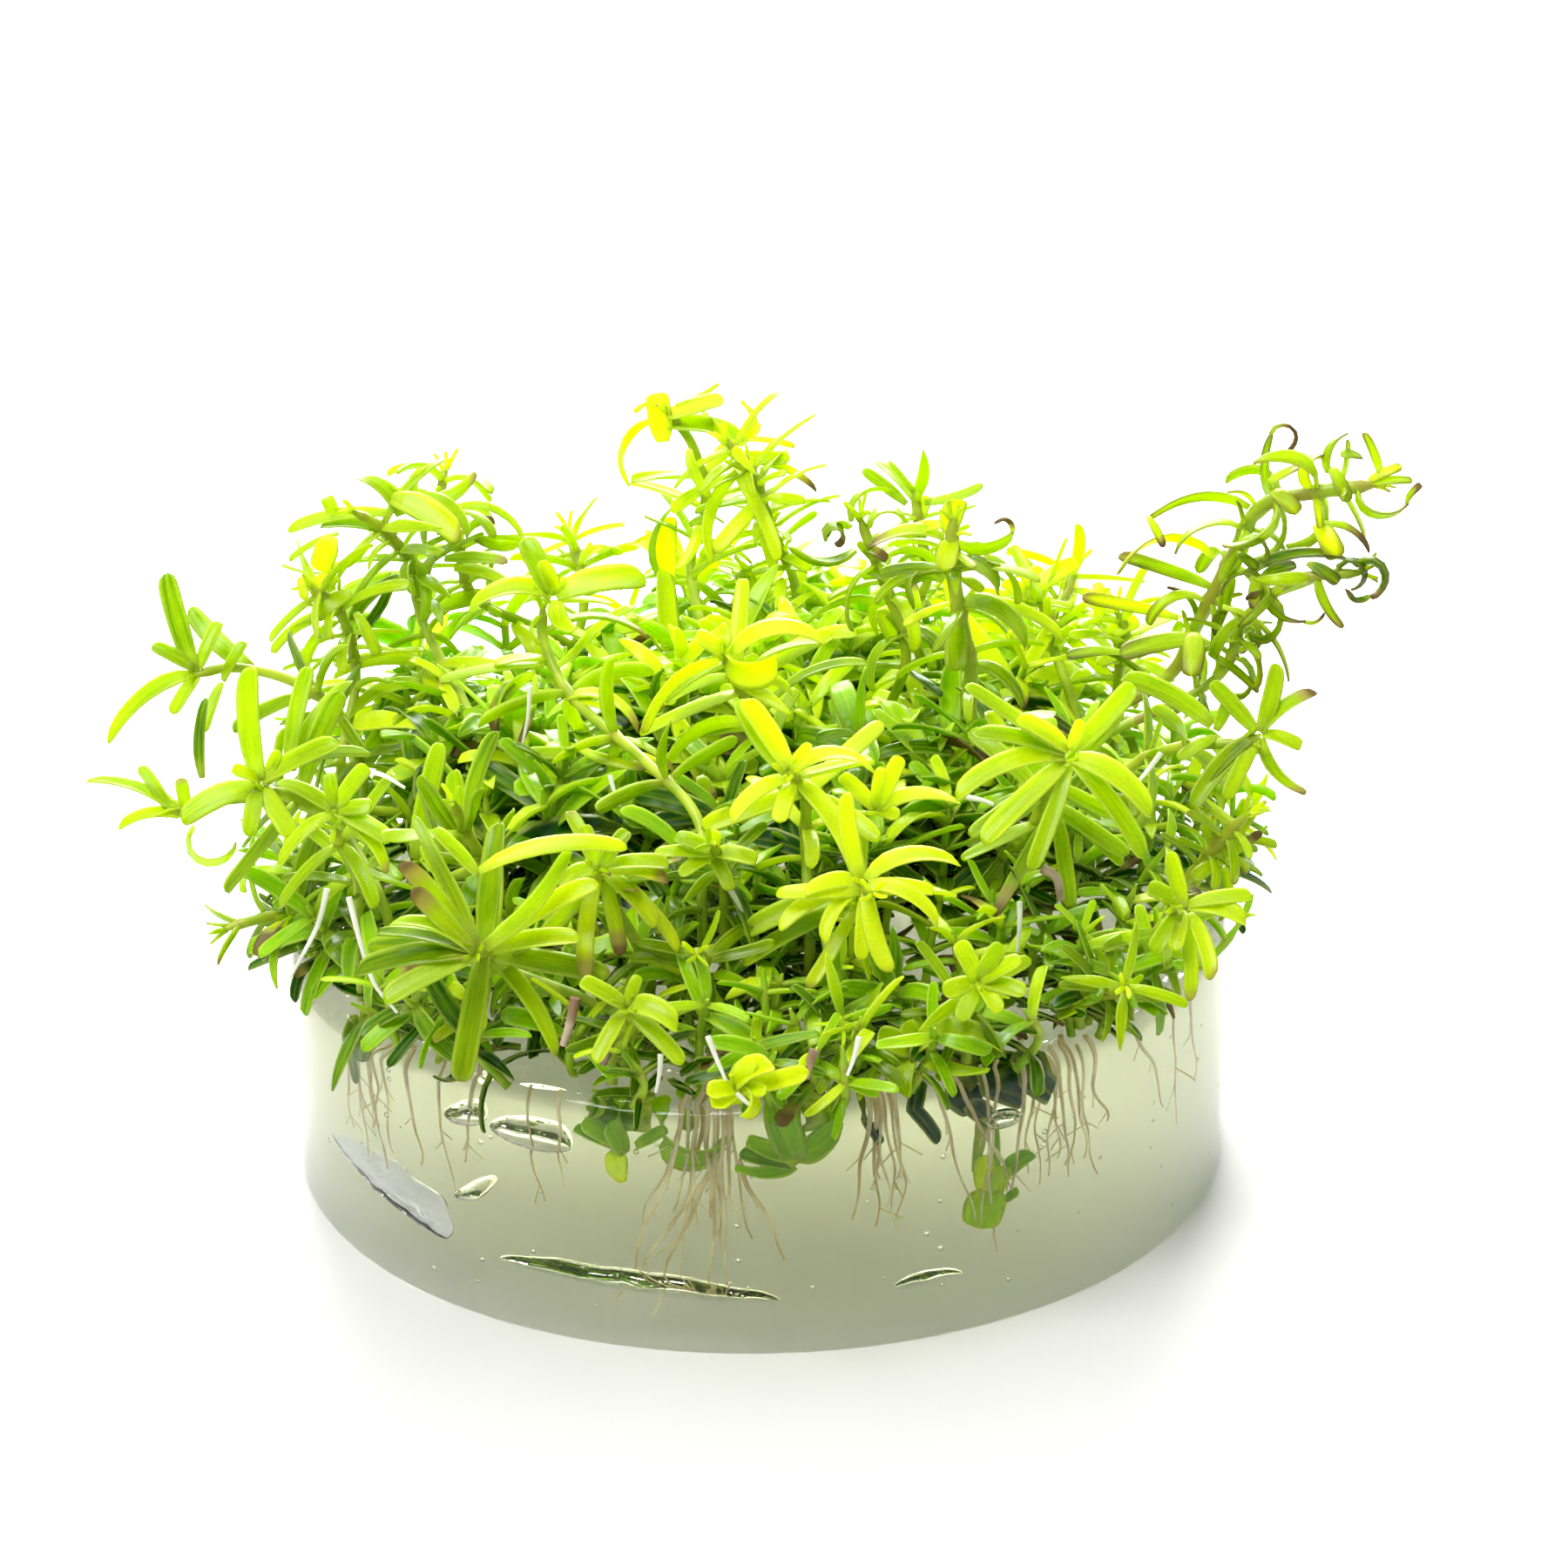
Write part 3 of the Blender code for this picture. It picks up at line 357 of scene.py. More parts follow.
    # stems and roots are tubes along the lines, as thick as each line's points say
    lines = addNode(tree, "GeometryNodeMeshToCurve", {0: parts.outputs["Inverted"]}).outputs[0]
    ring = addNode(tree, "GeometryNodeCurvePrimitiveCircle",
                   {"Resolution": given["Stem Sides"], "Radius": 1.0})
    stems = addNode(tree, "GeometryNodeCurveToMesh",
                    {"Curve": lines, "Profile Curve": ring.outputs[0],
                     "Scale": readAttribute(tree, "radius"), "Fill Caps": True}).outputs[0]
    stems = addNode(tree, "GeometryNodeSetMaterial",
                    {"Geometry": stems, "Material": given["Stem Material"]}).outputs[0]
    both = addNode(tree, "GeometryNodeJoinGeometry")
    tree.links.new(stems, both.inputs[0])
    tree.links.new(leaves, both.inputs[0])
    smooth = addNode(tree, "GeometryNodeSetShadeSmooth", {0: both.outputs[0]}).outputs[0]
    tree.links.new(smooth, result["Geometry"])
    return tree


# Growing a piece from its points and lines


def seedMesh(name, leaves, lines):
    places = [leaf["foot"] for leaf in leaves]
    edges = []
    for line in lines:
        first = len(places)
        places += [spot["place"] for spot in line]
        edges += [(k, k + 1) for k in range(first, len(places) - 1)]
    mesh = bpy.data.meshes.new(name)
    mesh.from_pydata([place * mm for place in places], edges, [])
    spots = list(leaves) + [spot for line in lines for spot in line]
    inMetres = ("length", "width", "radius")
    for key in (*leafNumbers, *lineNumbers, "isLeaf"):
        scale = mm if key in inMetres else 1.0
        values = [spot.get(key, 0.0) * scale for spot in spots]
        mesh.attributes.new(key, "FLOAT", "POINT").data.foreach_set("value", values)
    for key in ("foot", "ahead", "up"):
        scale = mm if key == "foot" else 1.0
        values = [number * scale for spot in spots for number in spot.get(key, (0, 0, 0))]
        mesh.attributes.new(key, "FLOAT_VECTOR", "POINT").data.foreach_set("vector", values)
    return mesh


def grownMesh(name, leaves, lines, tree, inputs):
    seeds = newPiece(name + "_seeds", seedMesh(name + "_seeds", leaves, lines))
    growth = seeds.modifiers.new("growth", "NODES")
    growth.node_group = tree
    sockets = {item.name: item.identifier for item in tree.interface.items_tree
               if item.in_out == "INPUT"}
    for key, value in inputs.items():
        growth[sockets[key]] = value
    grown = seeds.evaluated_get(bpy.context.evaluated_depsgraph_get())
    mesh = bpy.data.meshes.new_from_object(grown)
    seeds.modifiers.remove(growth)
    bpy.data.objects.remove(seeds, do_unlink=True)
    mesh.name = name
    return mesh


def growPiece(name, leaves, lines, leafFinish, stemFinish, **inputs):
    inputs = {"Leaf Material": finishes[leafFinish], "Stem Material": finishes[stemFinish],
              **inputs}
    mesh = grownMesh(name, leaves, lines, trees["shoots"], inputs)
    for key in ("foot", "ahead", "up", "isLeaf", "overLeaf", *leafNumbers, *lineNumbers):
        if key in mesh.attributes and key not in seenByFinishes:
            mesh.attributes.remove(mesh.attributes[key])
    return newPiece(name, mesh)


def finishPiece(piece, slot, *nodes):
    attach(piece, "root")
    if nodes:
        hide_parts(*nodes)


# Finishes and what they need

# the gel was cast in a round cup
gelBlock = {
    "radius": 40.0,
    "top": 21.4,
    "slope": 0.018,
    "edge": 0.12,
    "rimRound": 1.3,
    "sides": 160,
    "solidSides": 48,
    "wallRings": 8,
    "wobble": 0.14,
    "unevenTop": 0.30,
    "levelTo": 8.0,                 # below this height the block is level
    "leftRimDrop": 1.9,
    "rimDrop": 0.45,
    "rimDropFrom": 30.0,
    "rimDropWidth": 9.0,
    "ior": 1.34,
    "roughness": 0.015,
    "waves": 260.0,
    "waveStrength": 0.25,
    "waveDepth": 0.10,
    "tint": (0.90, 0.94, 0.46),
    "density": 13.0,
}
leafTints = {
    # deep is the green that low tones reach: it paints the shade inside the foliage
    "deep": (0.045, 0.190, 0.0008),
    "mid": (0.490, 0.690, 0.001),
    "bright": (0.840, 0.940, 0.006),
    # pale is the leaf's own paler margin and foot, whitened to also paint the glossy highlights
    "pale": (0.850, 0.930, 0.160),
    "tan": (0.520, 0.440, 0.100),
    "brown": (0.230, 0.150, 0.040),
    "wine": (0.110, 0.040, 0.035),
}
# the scale of each pattern, and from where to where on a leaf each mark shows and how much
leafMarks = {
    "patches": 190.0,
    "grain": 3600.0,
    "streaks": 1.6,
    "streakSpread": {"acrossLeaf": 3.2, "alongLeaf": 1.6, "tone": 41.0},
    "streakShare": 0.5,
    "edge": (0.60, 0.95, 0.50),
    "rib": (0.25, 0.0, 0.20),
    "heel": (0.30, 0.0, 0.45),
    "dryFrom": 1.22,
    "dryWithAge": 0.40,
    "dryUneven": 0.5,
    "tan": (-0.10, 0.06, 0.85),
    "brown": (0.05, 0.20, 0.9),
    "wineEdge": (0.45, 0.95),
    "roughness": 0.12,
    "patchRoughness": 0.24,
    "brownRoughness": 0.25,
    "grainHeight": 0.35,
    "streakHeight": 0.65,
}


def leafSurfaceGroup():
    tree, given, result = newGroup("leafSurface", "ShaderNodeTree", (
        ("Deep", "Color", leafTints["deep"]),
        ("Mid", "Color", leafTints["mid"]),
        ("Bright", "Color", leafTints["bright"]),
        ("Tone Shift", "Float", 0.0),
        ("Patches", "Float", 0.35),
        ("Grain", "Float", 0.22)),
        (("Colour", "Color"), ("Roughness", "Float"), ("Height", "Float")))
    marks = {name: addNode(tree, "ShaderNodeAttribute", attribute_name=name).outputs["Fac"]
             for name in ("alongLeaf", "acrossLeaf", "tone", "age", "wine")}
    spot = addNode(tree, "ShaderNodeTexCoord").outputs["Object"]
    sideways = maths(tree, "ABSOLUTE", marks["acrossLeaf"])
    patches = noiseTexture(tree, spot, leafMarks["patches"], 1.0)
    grain = noiseTexture(tree, spot, leafMarks["grain"], 1.0)
    streakSpot = addNode(tree, "ShaderNodeCombineXYZ", {
        axis: maths(tree, "MULTIPLY", marks[name], spread)
        for axis, (name, spread) in enumerate(leafMarks["streakSpread"].items())}).outputs[0]
    streaks = noiseTexture(tree, streakSpot, leafMarks["streaks"], 2.0)
    tone = total(tree, marks["tone"], given["Tone Shift"],
                 aroundZero(tree, patches, given["Patches"]),
                 aroundZero(tree, streaks, leafMarks["streakShare"]))
    # low tones go to the deep green, the painted shade of the foliage's interior
    colour = mixColour(tree, smoothStep(tree, tone, 0.0, 0.55), given["Deep"], given["Mid"])
    colour = mixColour(tree, smoothStep(tree, tone, 0.45, 1.0), colour, given["Bright"])
    # pale margins: partly the leaf's own edge, partly a painted highlight
    for mark, value, tint in (("edge", sideways, leafTints["pale"]),
                              ("rib", sideways, given["Bright"]),
                              ("heel", marks["alongLeaf"], leafTints["pale"])):
        low, high, share = leafMarks[mark]
        amount = maths(tree, "MULTIPLY", smoothStep(tree, value, low, high), share)
        colour = mixColour(tree, amount, colour, tint)
    dots = maths(tree, "ADD", 1.0, aroundZero(tree, grain, given["Grain"]))
    grey = addNode(tree, "ShaderNodeCombineColor", {0: dots, 1: dots, 2: dots}).outputs[0]
    colour = mixColour(tree, 1.0, colour, grey, "MULTIPLY")

    # old tips go tan and then brown, and some leaves have wine-coloured edges
    reach = total(tree, marks["alongLeaf"], aroundZero(tree, patches, leafMarks["dryUneven"]))
    limit = maths(tree, "SUBTRACT", leafMarks["dryFrom"],
                  maths(tree, "MULTIPLY", marks["age"], leafMarks["dryWithAge"]))
    for mark in ("tan", "brown"):
        low, high, share = leafMarks[mark]
        dry = smoothStep(tree, maths(tree, "SUBTRACT", reach, limit), low, high)
        colour = mixColour(tree, maths(tree, "MULTIPLY", dry, share), colour, leafTints[mark])
    outwards = total(tree, maths(tree, "MULTIPLY", sideways, 0.55),
                     maths(tree, "MULTIPLY", marks["alongLeaf"], 0.55))
    wine = product(tree, smoothStep(tree, outwards, *leafMarks["wineEdge"]), marks["wine"])
    colour = mixColour(tree, wine, colour, leafTints["wine"])
    tree.links.new(colour, result["Colour"])
    rough = total(tree, leafMarks["roughness"],
                  maths(tree, "MULTIPLY", patches, leafMarks["patchRoughness"]),
                  maths(tree, "MULTIPLY", dry, leafMarks["brownRoughness"]))
    tree.links.new(rough, result["Roughness"])
    height = total(tree, maths(tree, "MULTIPLY", grain, leafMarks["grainHeight"]),
                   maths(tree, "MULTIPLY", streaks, leafMarks["streakHeight"]))
    tree.links.new(height, result["Height"])
    return tree


def blankFinish(name):
    finish = bpy.data.materials.new(name)
    finish.use_nodes = True
    tree = finish.node_tree
    shader = tree.nodes["Principled BSDF"]
    shader.inputs["Metallic"].default_value = 0.0
    return finish, tree, shader


def addGlow(tree, shader, colour, share):
    # a share of the light goes through to the far side
    glow = addNode(tree, "ShaderNodeBsdfTranslucent", {"Color": colour})
    mix = addNode(tree, "ShaderNodeMixShader",
                  {0: share, 1: shader.outputs[0], 2: glow.outputs[0]})
    tree.links.new(mix.outputs[0], tree.nodes["Material Output"].inputs["Surface"])
    return glow


def leafFinish(name, look):
    finish, tree, shader = blankFinish(name)
    surface = addNode(tree, "ShaderNodeGroup", look["surface"], node_tree=trees["leafSurface"])
    plug(tree, surface.outputs["Colour"], shader.inputs["Base Color"])
    plug(tree, surface.outputs["Roughness"], shader.inputs["Roughness"])
    shader.inputs["Specular IOR Level"].default_value = look["shine"]
    glow = addGlow(tree, shader, surface.outputs["Colour"], look["glow"])
    if "bump" in look:
        bump = bumpFrom(tree, surface.outputs["Height"], look["bump"], look["bumpDepth"])
        plug(tree, bump, shader.inputs["Normal"])
        plug(tree, bump, glow.inputs["Normal"])
    return finish


stemPatches = 420.0
freshLeaf = {
    "surface": {"Tone Shift": 0.0},
    "glow": 0.6,
    "shine": 0.36,
    "bump": 0.35,
    "bumpDepth": 0.05,
}
# the undergrowth's leaves: a copy of the leaf finish with a darker deep tint and a greener mid
# tint, which paints their shade
shadeLeaf = {
    "surface": {"Deep": (0.012, 0.120, 0.0006), "Mid": (0.370, 0.700, 0.001),
                "Bright": (0.820, 0.940, 0.006)},
    "glow": 0.5,
    "shine": 0.36,
}
greenStem = {
    "colour": (0.360, 0.520, 0.010),
    "pale": (0.560, 0.680, 0.040),
    "joint": (0.260, 0.110, 0.040),
    "glow": 0.25,
    "roughness": 0.38,
}
shadeStem = {**greenStem, "colour": (0.30, 0.58, 0.006), "pale": (0.52, 0.74, 0.03)}
gelRoot = {"colour": (0.760, 0.660, 0.380), "pale": (0.95, 0.90, 0.66), "glow": 0.55,
           "roughness": 0.5}
driedStem = {"colour": (0.260, 0.150, 0.080), "pale": (0.52, 0.40, 0.28), "glow": 0.1,
             "roughness": 0.6}
airRoot = {"colour": (0.86, 0.86, 0.76), "pale": (0.97, 0.97, 0.93), "glow": 0.4,
           "roughness": 0.6}


def stemFinish(name, look):
    finish, tree, shader = blankFinish(name)
    spot = addNode(tree, "ShaderNodeTexCoord").outputs["Object"]
    patches = noiseTexture(tree, spot, stemPatches, 1.0)
    colour = mixColour(tree, smoothStep(tree, patches, 0.35, 0.65), look["colour"],
                       look["pale"])
    if "joint" in look:
        joint = addNode(tree, "ShaderNodeAttribute", attribute_name="joint").outputs["Fac"]
        wine = addNode(tree, "ShaderNodeAttribute", attribute_name="wine").outputs["Fac"]
        stain = maths(tree, "MULTIPLY", joint, smoothStep(tree, patches, 0.30, 0.60))
        stain = maths(tree, "MAXIMUM", maths(tree, "MULTIPLY", stain, 0.45),
                      maths(tree, "MULTIPLY", wine, smoothStep(tree, patches, 0.48, 0.62)))
        colour = mixColour(tree, stain, colour, look["joint"])
    plug(tree, colour, shader.inputs["Base Color"])
    shader.inputs["Roughness"].default_value = look["roughness"]
    addGlow(tree, shader, colour, look["glow"])
    return finish


def gelFinish():
    finish, tree, shader = blankFinish("clearGel")
    shader.inputs["Base Color"].default_value = (1.0, 1.0, 1.0, 1.0)
    shader.inputs["IOR"].default_value = gelBlock["ior"]
    shader.inputs["Transmission Weight"].default_value = 1.0
    shader.inputs["Roughness"].default_value = gelBlock["roughness"]
    spot = addNode(tree, "ShaderNodeTexCoord").outputs["Object"]
    waves = noiseTexture(tree, spot, gelBlock["waves"], 1.0)
    bump = bumpFrom(tree, waves, gelBlock["waveStrength"], gelBlock["waveDepth"])
    plug(tree, bump, shader.inputs["Normal"])
    body = addNode(tree, "ShaderNodeVolumeAbsorption",
                   {"Color": gelBlock["tint"], "Density": gelBlock["density"]})
    tree.links.new(body.outputs[0], tree.nodes["Material Output"].inputs["Volume"])
    return finish


def paleFloorFinish():
    finish, tree, shader = blankFinish("paleFloor")
    plug(tree, studio["floorColour"], shader.inputs["Base Color"])
    shader.inputs["Roughness"].default_value = studio["floorRoughness"]
    shader.inputs["Specular IOR Level"].default_value = studio["floorShine"]
    return finish


# Shoots: each follows its solid, leaf by leaf

shootForm = {
    "gap": 0.3,
    "stemRadius": 0.75,
    "leafWidthRatio": 0.27,
    "leafWidthMost": 2.5,
    "leafThick": 0.5,
    "jointHalf": 0.3,
    "budLength": 1.2,
    "bareStem": 0.18,
    "youngerGain": 0.06,
    "stemSpan": 7.0,
    "pathSteps": 8,
    "lowerRise": 0.6,
    "slimness": 0.78,               # width of a leaf against its solid's
    "roundness": 0.60,              # radius of the round stem against its solid's corner
    "sampleStep": 0.7,
    "jointSwell": 0.32,
    "jointLength": 0.5,
    "tipTaper": 3.0,
    "insideRim": 2.5,               # how far a stem's foot stays inside the gel's wall
}
# what a leaf does where its first place is taken: turn, lean in degrees, share of its length
leafTries = ((0, 0, 1.0), (14, 0, 1.0), (-14, 0, 1.0), (0, -16, 1.0), (0, 14, 0.9),
             (26, -12, 0.85), (-26, -12, 0.85), (0, 0, 0.7), (20, -24, 0.65),
             (-20, -24, 0.65), (0, 0, 0.5))

# what grows on a shoot besides its main leaves, as chances and shares
shootExtras = {
    "footInset": 0.7,
    "footOverlap": 0.25,
    "shadeAtFoot": 0.28,             # painted shade: how much darker the green is at the foot, where the leaves above shade the stem
    "toneSpread": 0.07,
    "ageRange": (0.2, 1.6),
    "wineRange": (0.3, 1.3),
    "spreadNoise": 8,
    "curlNoise": 14,
    "axilSpread": (25, 50),
    "axilCurl": (-10, 20),
    "sideLeaf": 0.9,
    "sideLength": (0.65, 1.0),
    "betweenPair": 0.55,
    "betweenLength": (0.65, 1.0),
    "axil": 0.45,
    "axilLength": (1.8, 3.2),
    "budLeaves": 4,
    "budLength": (1.3, 2.4),
    "lowerPairs": 2,
    "lowerLength": (3.5, 6.0),
    "besideFan": 0.3,               # what stays of the chances where leaves are placed one by one
}

# path: points of the stem above the undergrowth, whorls: pairs below the crown, leaf: their
# length, spread and curl in degrees, turn: degrees round the stem, crown: leaves at the tip
# as (count, length, spread, curl), root: where the stem meets the gel if not in the nearest
# lane, tone: 0 deep green to 1 bright yellow, age: how far the tips have dried, wine: red
shoots = {
    "frontStar": dict(
        path=[(8.0, -25, 31), (8.5, -29, 34.5), (9.0, -35, 37)],
        whorls=2, leaf=6.5, spread=75, curl=25, turn=4, crown=(4, 7.6, 84, 12),
        tone=0.95, age=0.05, wine=0),
    "brightCross": dict(
        path=[(4.0, -19, 34), (4.0, -20.5, 39), (3.0, -25, 43)],
        whorls=2, leaf=8.0, spread=72, curl=30, turn=35, crown=(4, 6.5, 80, 15),
        tone=0.92, age=0.05, wine=0),
    "middle": dict(
        path=[(1.0, -5, 38), (-1.0, -7, 43), (-2.5, -10, 47.5)],
        whorls=2, leaf=8.5, spread=75, curl=35, turn=20, crown=(4, 6.0, 70, 35),
        tone=0.75, age=0.1, wine=0),
    "leftCross": dict(
        path=[(-4.5, -19, 36.5), (-9.0, -13, 39.5), (-15.0, -4, 41.5), (-17.5, 0, 45),
              (-17.5, 0, 48.5)],
        whorls=3, leaf=7.5, spread=75, curl=30, turn=10, crown=(4, 8.0, 82, 15),
        tone=0.62, age=0.15, wine=0),
    "frontLeftStar": dict(
        path=[(-20.0, -30, 29), (-20.5, -33, 31.5), (-21.0, -38.5, 34)],
        whorls=3, leaf=9.5, spread=78, curl=18, turn=30, crown=(4, 8.5, 84, 12),
        tone=0.50, age=0.45, wine=0),
    "frontLeftUpright": dict(
        path=[(-22.0, -21, 34), (-23.0, -23, 38), (-23.5, -25, 41)],
        whorls=2, leaf=8.0, spread=45, curl=0, turn=60, crown=(2, 8.5, 25, 0),
        tone=0.48, age=0.25, wine=0),
    "leftRosette": dict(
        path=[(-34.0, -11, 33), (-37.0, -14, 37), (-39.5, -17.5, 39)],
        whorls=2, leaf=9.0, spread=72, curl=10, turn=15, crown=(4, 9.0, 80, 8),
        tone=0.46, age=0.1, wine=0),
    "leftOuter": dict(
        path=[(-38.0, -3, 32), (-43.0, -4, 33), (-48.5, -5, 32.5)],
        whorls=1, leaf=6.5, spread=60, curl=30, turn=0, crown=(2, 8.5, 40, -10),
        tone=0.52, age=0.3, wine=0),
    "leftHigh": dict(
        path=[(-36.0, 4, 38), (-39.5, 3, 41), (-44.0, 2, 42.5), (-47.0, 0, 42.5)],
        whorls=1, leaf=8.0, spread=60, curl=20, turn=0, crown=(4, 9.5, 62, 22),
        tone=0.46, age=0.1, wine=0),
    "leftLow": dict(
        path=[(-32.0, -19, 32), (-33.0, -21, 36), (-33.0, -24, 38.5)],
        whorls=2, leaf=6.5, spread=75, curl=25, turn=40, crown=(4, 6.0, 80, 20),
        tone=0.55, age=0.1, wine=0),
    "leftSprig": dict(
        path=[(-37.5, -10, 25), (-41.0, -12, 25.5), (-44.0, -13, 25)],
        whorls=1, leaf=5.0, spread=65, curl=20, turn=45, crown=(2, 4.5, 50, 15), root=(-37.0, -8.5),
        tone=0.45, age=0.55, wine=0),
    "upperLeftFront": dict(
        path=[(-29.5, 20, 40), (-30.0, 20, 45), (-32.5, 19, 49), (-35.0, 17, 51.5)],
        whorls=4, leaf=8.0, spread=75, curl=35, turn=25, crown=(4, 6.5, 70, 40),
        tone=0.60, age=0.2, wine=0),
    "upperLeftBack": dict(
        path=[(-25.0, 26, 40), (-26.5, 26, 45), (-28.0, 27, 49), (-27.5, 28, 52)],
        whorls=3, leaf=7.5, spread=75, curl=40, turn=70, crown=(4, 6.0, 60, 40),
        tone=0.68, age=0.25, frill=1.6, wine=0.1, dense=True),
    "upperLeftOuter": dict(
        path=[(-35.0, 14, 37), (-36.0, 14, 43), (-38.5, 13, 46)],
        whorls=3, leaf=6.5, spread=75, curl=35, turn=0, crown=(4, 6.0, 75, 30),
        tone=0.72, age=0.2, wine=0.1, dense=True),
    "tallBackLeft": dict(
        path=[(-6.0, 34, 40), (-4.5, 34, 46), (-5.5, 33, 52), (-8.0, 32, 56)],
        whorls=2, leaf=7.5, spread=60, curl=20, turn=50, crown=(4, 8.0, 80, 70),
        tone=0.75, age=0.3, frill=1.3, wine=0),
    "tallBackRight": dict(
        path=[(3.5, 30, 40), (1.5, 30, 45), (0.0, 30, 50), (-2.5, 29, 54)],
        whorls=4, leaf=7.5, spread=70, curl=30, turn=10, crown=(4, 6.0, 60, 45),
        tone=0.78, age=0.25, wine=0, dense=True),
    "backSmall": dict(
        path=[(15.5, 31, 39), (15.0, 32, 44), (14.5, 33, 48)],
        whorls=2, leaf=6.0, spread=65, curl=10, turn=20, crown=(2, 6.0, 50, 0),
        tone=0.60, age=0.1, wine=0, dense=True),
    "curled": dict(
        path=[(13.0, 9, 40), (11.5, 9, 46), (10.0, 9, 50), (9.0, 9, 53)],
        whorls=3, leaf=6.5, spread=80, curl=60, turn=30, crown=(4, 4.5, 70, 80),
        tone=0.55, age=0.2, frill=1.8, wine=0.1),
    "thick": dict(
        path=[(18.5, -3, 38), (18.0, -2, 43), (17.0, -1, 48), (16.5, -1, 52), (16.5, -1, 56)],
        whorls=4, leaf=6.5, spread=80, curl=45, turn=5, crown=(4, 5.5, 75, 30), radius=1.0,
        tone=0.62, age=0.25, wine=0.15),
    "rightRosette": dict(
        path=[(22.0, -17, 34), (23.0, -20, 39), (24.0, -25, 43.5)],
        whorls=3, leaf=8.0, spread=78, curl=20, turn=45, crown=(4, 8.5, 82, 15),
        tone=0.50, age=0.2, wine=0),
    "rightMiddle": dict(
        path=[(31.0, -7, 36), (35.0, -9, 38.5), (40.0, -11, 39.5)],
        whorls=2, leaf=7.5, spread=75, curl=20, turn=30, crown=(4, 7.0, 75, 15),
        tone=0.50, age=0.3, wine=0.1),
    "rightArch": dict(
        path=[(35.0, 8, 38), (37.5, 7, 43), (40.5, 6, 50), (42.5, 5, 54.5),
              (46.5, 4, 56), (52.0, 3, 57.0)],
        whorls=6, leaf=7.5, spread=75, curl=45, turn=20, crown=(4, 5.5, 60, 30), radius=1.0,
        tone=0.62, age=0.4, frill=2.6, wine=0.5),
    "rightArchSide": dict(
        path=[(38.5, 2, 40), (41.0, 1, 46), (45.0, -1, 50), (50.5, -2, 51)],
        whorls=4, leaf=6.0, spread=75, curl=60, turn=60, crown=(4, 4.5, 60, 80),
        tone=0.50, age=0.5, frill=2.8, wine=0.6),
    "rightBackInner": dict(
        path=[(26.0, 18, 38.5), (25.5, 19, 41), (24.5, 19, 43)],
        whorls=1, leaf=6.0, spread=65, curl=10, turn=0, crown=(4, 5.5, 50, 0),
        tone=0.72, age=0.2, wine=0, dense=True),
    "rightBackOuter": dict(
        path=[(32.0, 16, 36), (32.5, 16, 39.5), (31.5, 16, 42)],
        whorls=2, leaf=6.0, spread=65, curl=25, turn=40, crown=(4, 5.0, 60, 20),
        tone=0.72, age=0.2, wine=0, dense=True),
    "rightEdge": dict(
        path=[(36.5, -13, 30), (38.5, -14, 33), (40.0, -15, 35)],
        whorls=2, leaf=4.5, spread=70, curl=20, turn=10, crown=(4, 4.5, 70, 15), root=(35.0, -12.0),
        tone=0.62, age=0.5, wine=0.2),
    "rightLow": dict(
        path=[(31.5, -24, 28), (32.5, -26, 31), (32.5, -28, 32.5)],
        whorls=1, leaf=5.5, spread=70, curl=20, turn=25, crown=(4, 5.5, 75, 15), root=(30.5, -21.5),
        tone=0.60, age=0.45, wine=0),
    "frontLeftLow": dict(
        path=[(-10.0, -36, 25.5), (-9.5, -38, 28), (-9.5, -40.5, 30)],
        whorls=1, leaf=5.0, spread=75, curl=20, turn=45, crown=(4, 5.5, 80, 15),
        tone=0.50, age=0.15, wine=0),
    "frontMiddle": dict(
        path=[(-4.0, -30, 29), (-4.5, -32.5, 31), (-4.5, -35, 32)],
        whorls=1, leaf=5.0, spread=75, curl=20, turn=10, crown=(4, 5.0, 80, 15), root=(-5.5, -27.0),
        tone=0.50, age=0.1, wine=0),
    "frontLow": dict(
        path=[(0.5, -38.5, 23.5), (-0.5, -41, 24.5), (-1.0, -43, 25)],
        whorls=1, leaf=4.5, spread=70, curl=20, turn=0, crown=(4, 4.5, 75, 10), root=(0.5, -37.8),
        tone=0.92, age=0.45, wine=0),
    "frontRightLow": dict(
        path=[(7.5, -36.5, 25), (7.0, -39, 27.5), (6.5, -41, 28.5)],
        whorls=1, leaf=4.5, spread=75, curl=20, turn=45, crown=(4, 4.8, 80, 10), root=(8.0, -36.0),
        tone=0.55, age=0.1, wine=0),
    "frontRight": dict(
        path=[(15.5, -34, 27), (16.5, -36, 29), (17.5, -38, 30)],
        whorls=2, leaf=5.5, spread=75, curl=20, turn=30, crown=(4, 5.5, 80, 12),
        tone=0.60, age=0.1, wine=0),
    "frontRightOuter": dict(
        path=[(27.5, -29, 25.5), (28.5, -31, 27), (28.5, -33, 28)],
        whorls=1, leaf=4.5, spread=75, curl=20, turn=20, crown=(4, 4.5, 80, 10), root=(25.5, -28.0),
        tone=0.62, age=0.3, wine=0),
    "centreSmall": dict(
        path=[(-2.5, -24, 34), (-3.0, -26.5, 37), (-3.5, -28.5, 38.5)],
        whorls=1, leaf=4.5, spread=75, curl=15, turn=45, crown=(4, 4.5, 80, 10),
        tone=0.45, age=0.1, wine=0),
    "frontLeftInner": dict(
        path=[(-11.5, -28, 34), (-12.0, -30, 36.5), (-12.0, -32, 38)],
        whorls=1, leaf=6.5, spread=80, curl=50, turn=0, crown=(4, 6.0, 80, 35),
        tone=0.58, age=0.6, wine=0.2),
    "behindLeft": dict(
        path=[(-16.0, 35, 36), (-16.5, 37, 40), (-17.5, 39, 42.5)],
        whorls=2, leaf=6.5, spread=70, curl=25, turn=30, crown=(4, 6.0, 70, 20),
        tone=0.75, age=0.1, wine=0),
    "behindRight": dict(
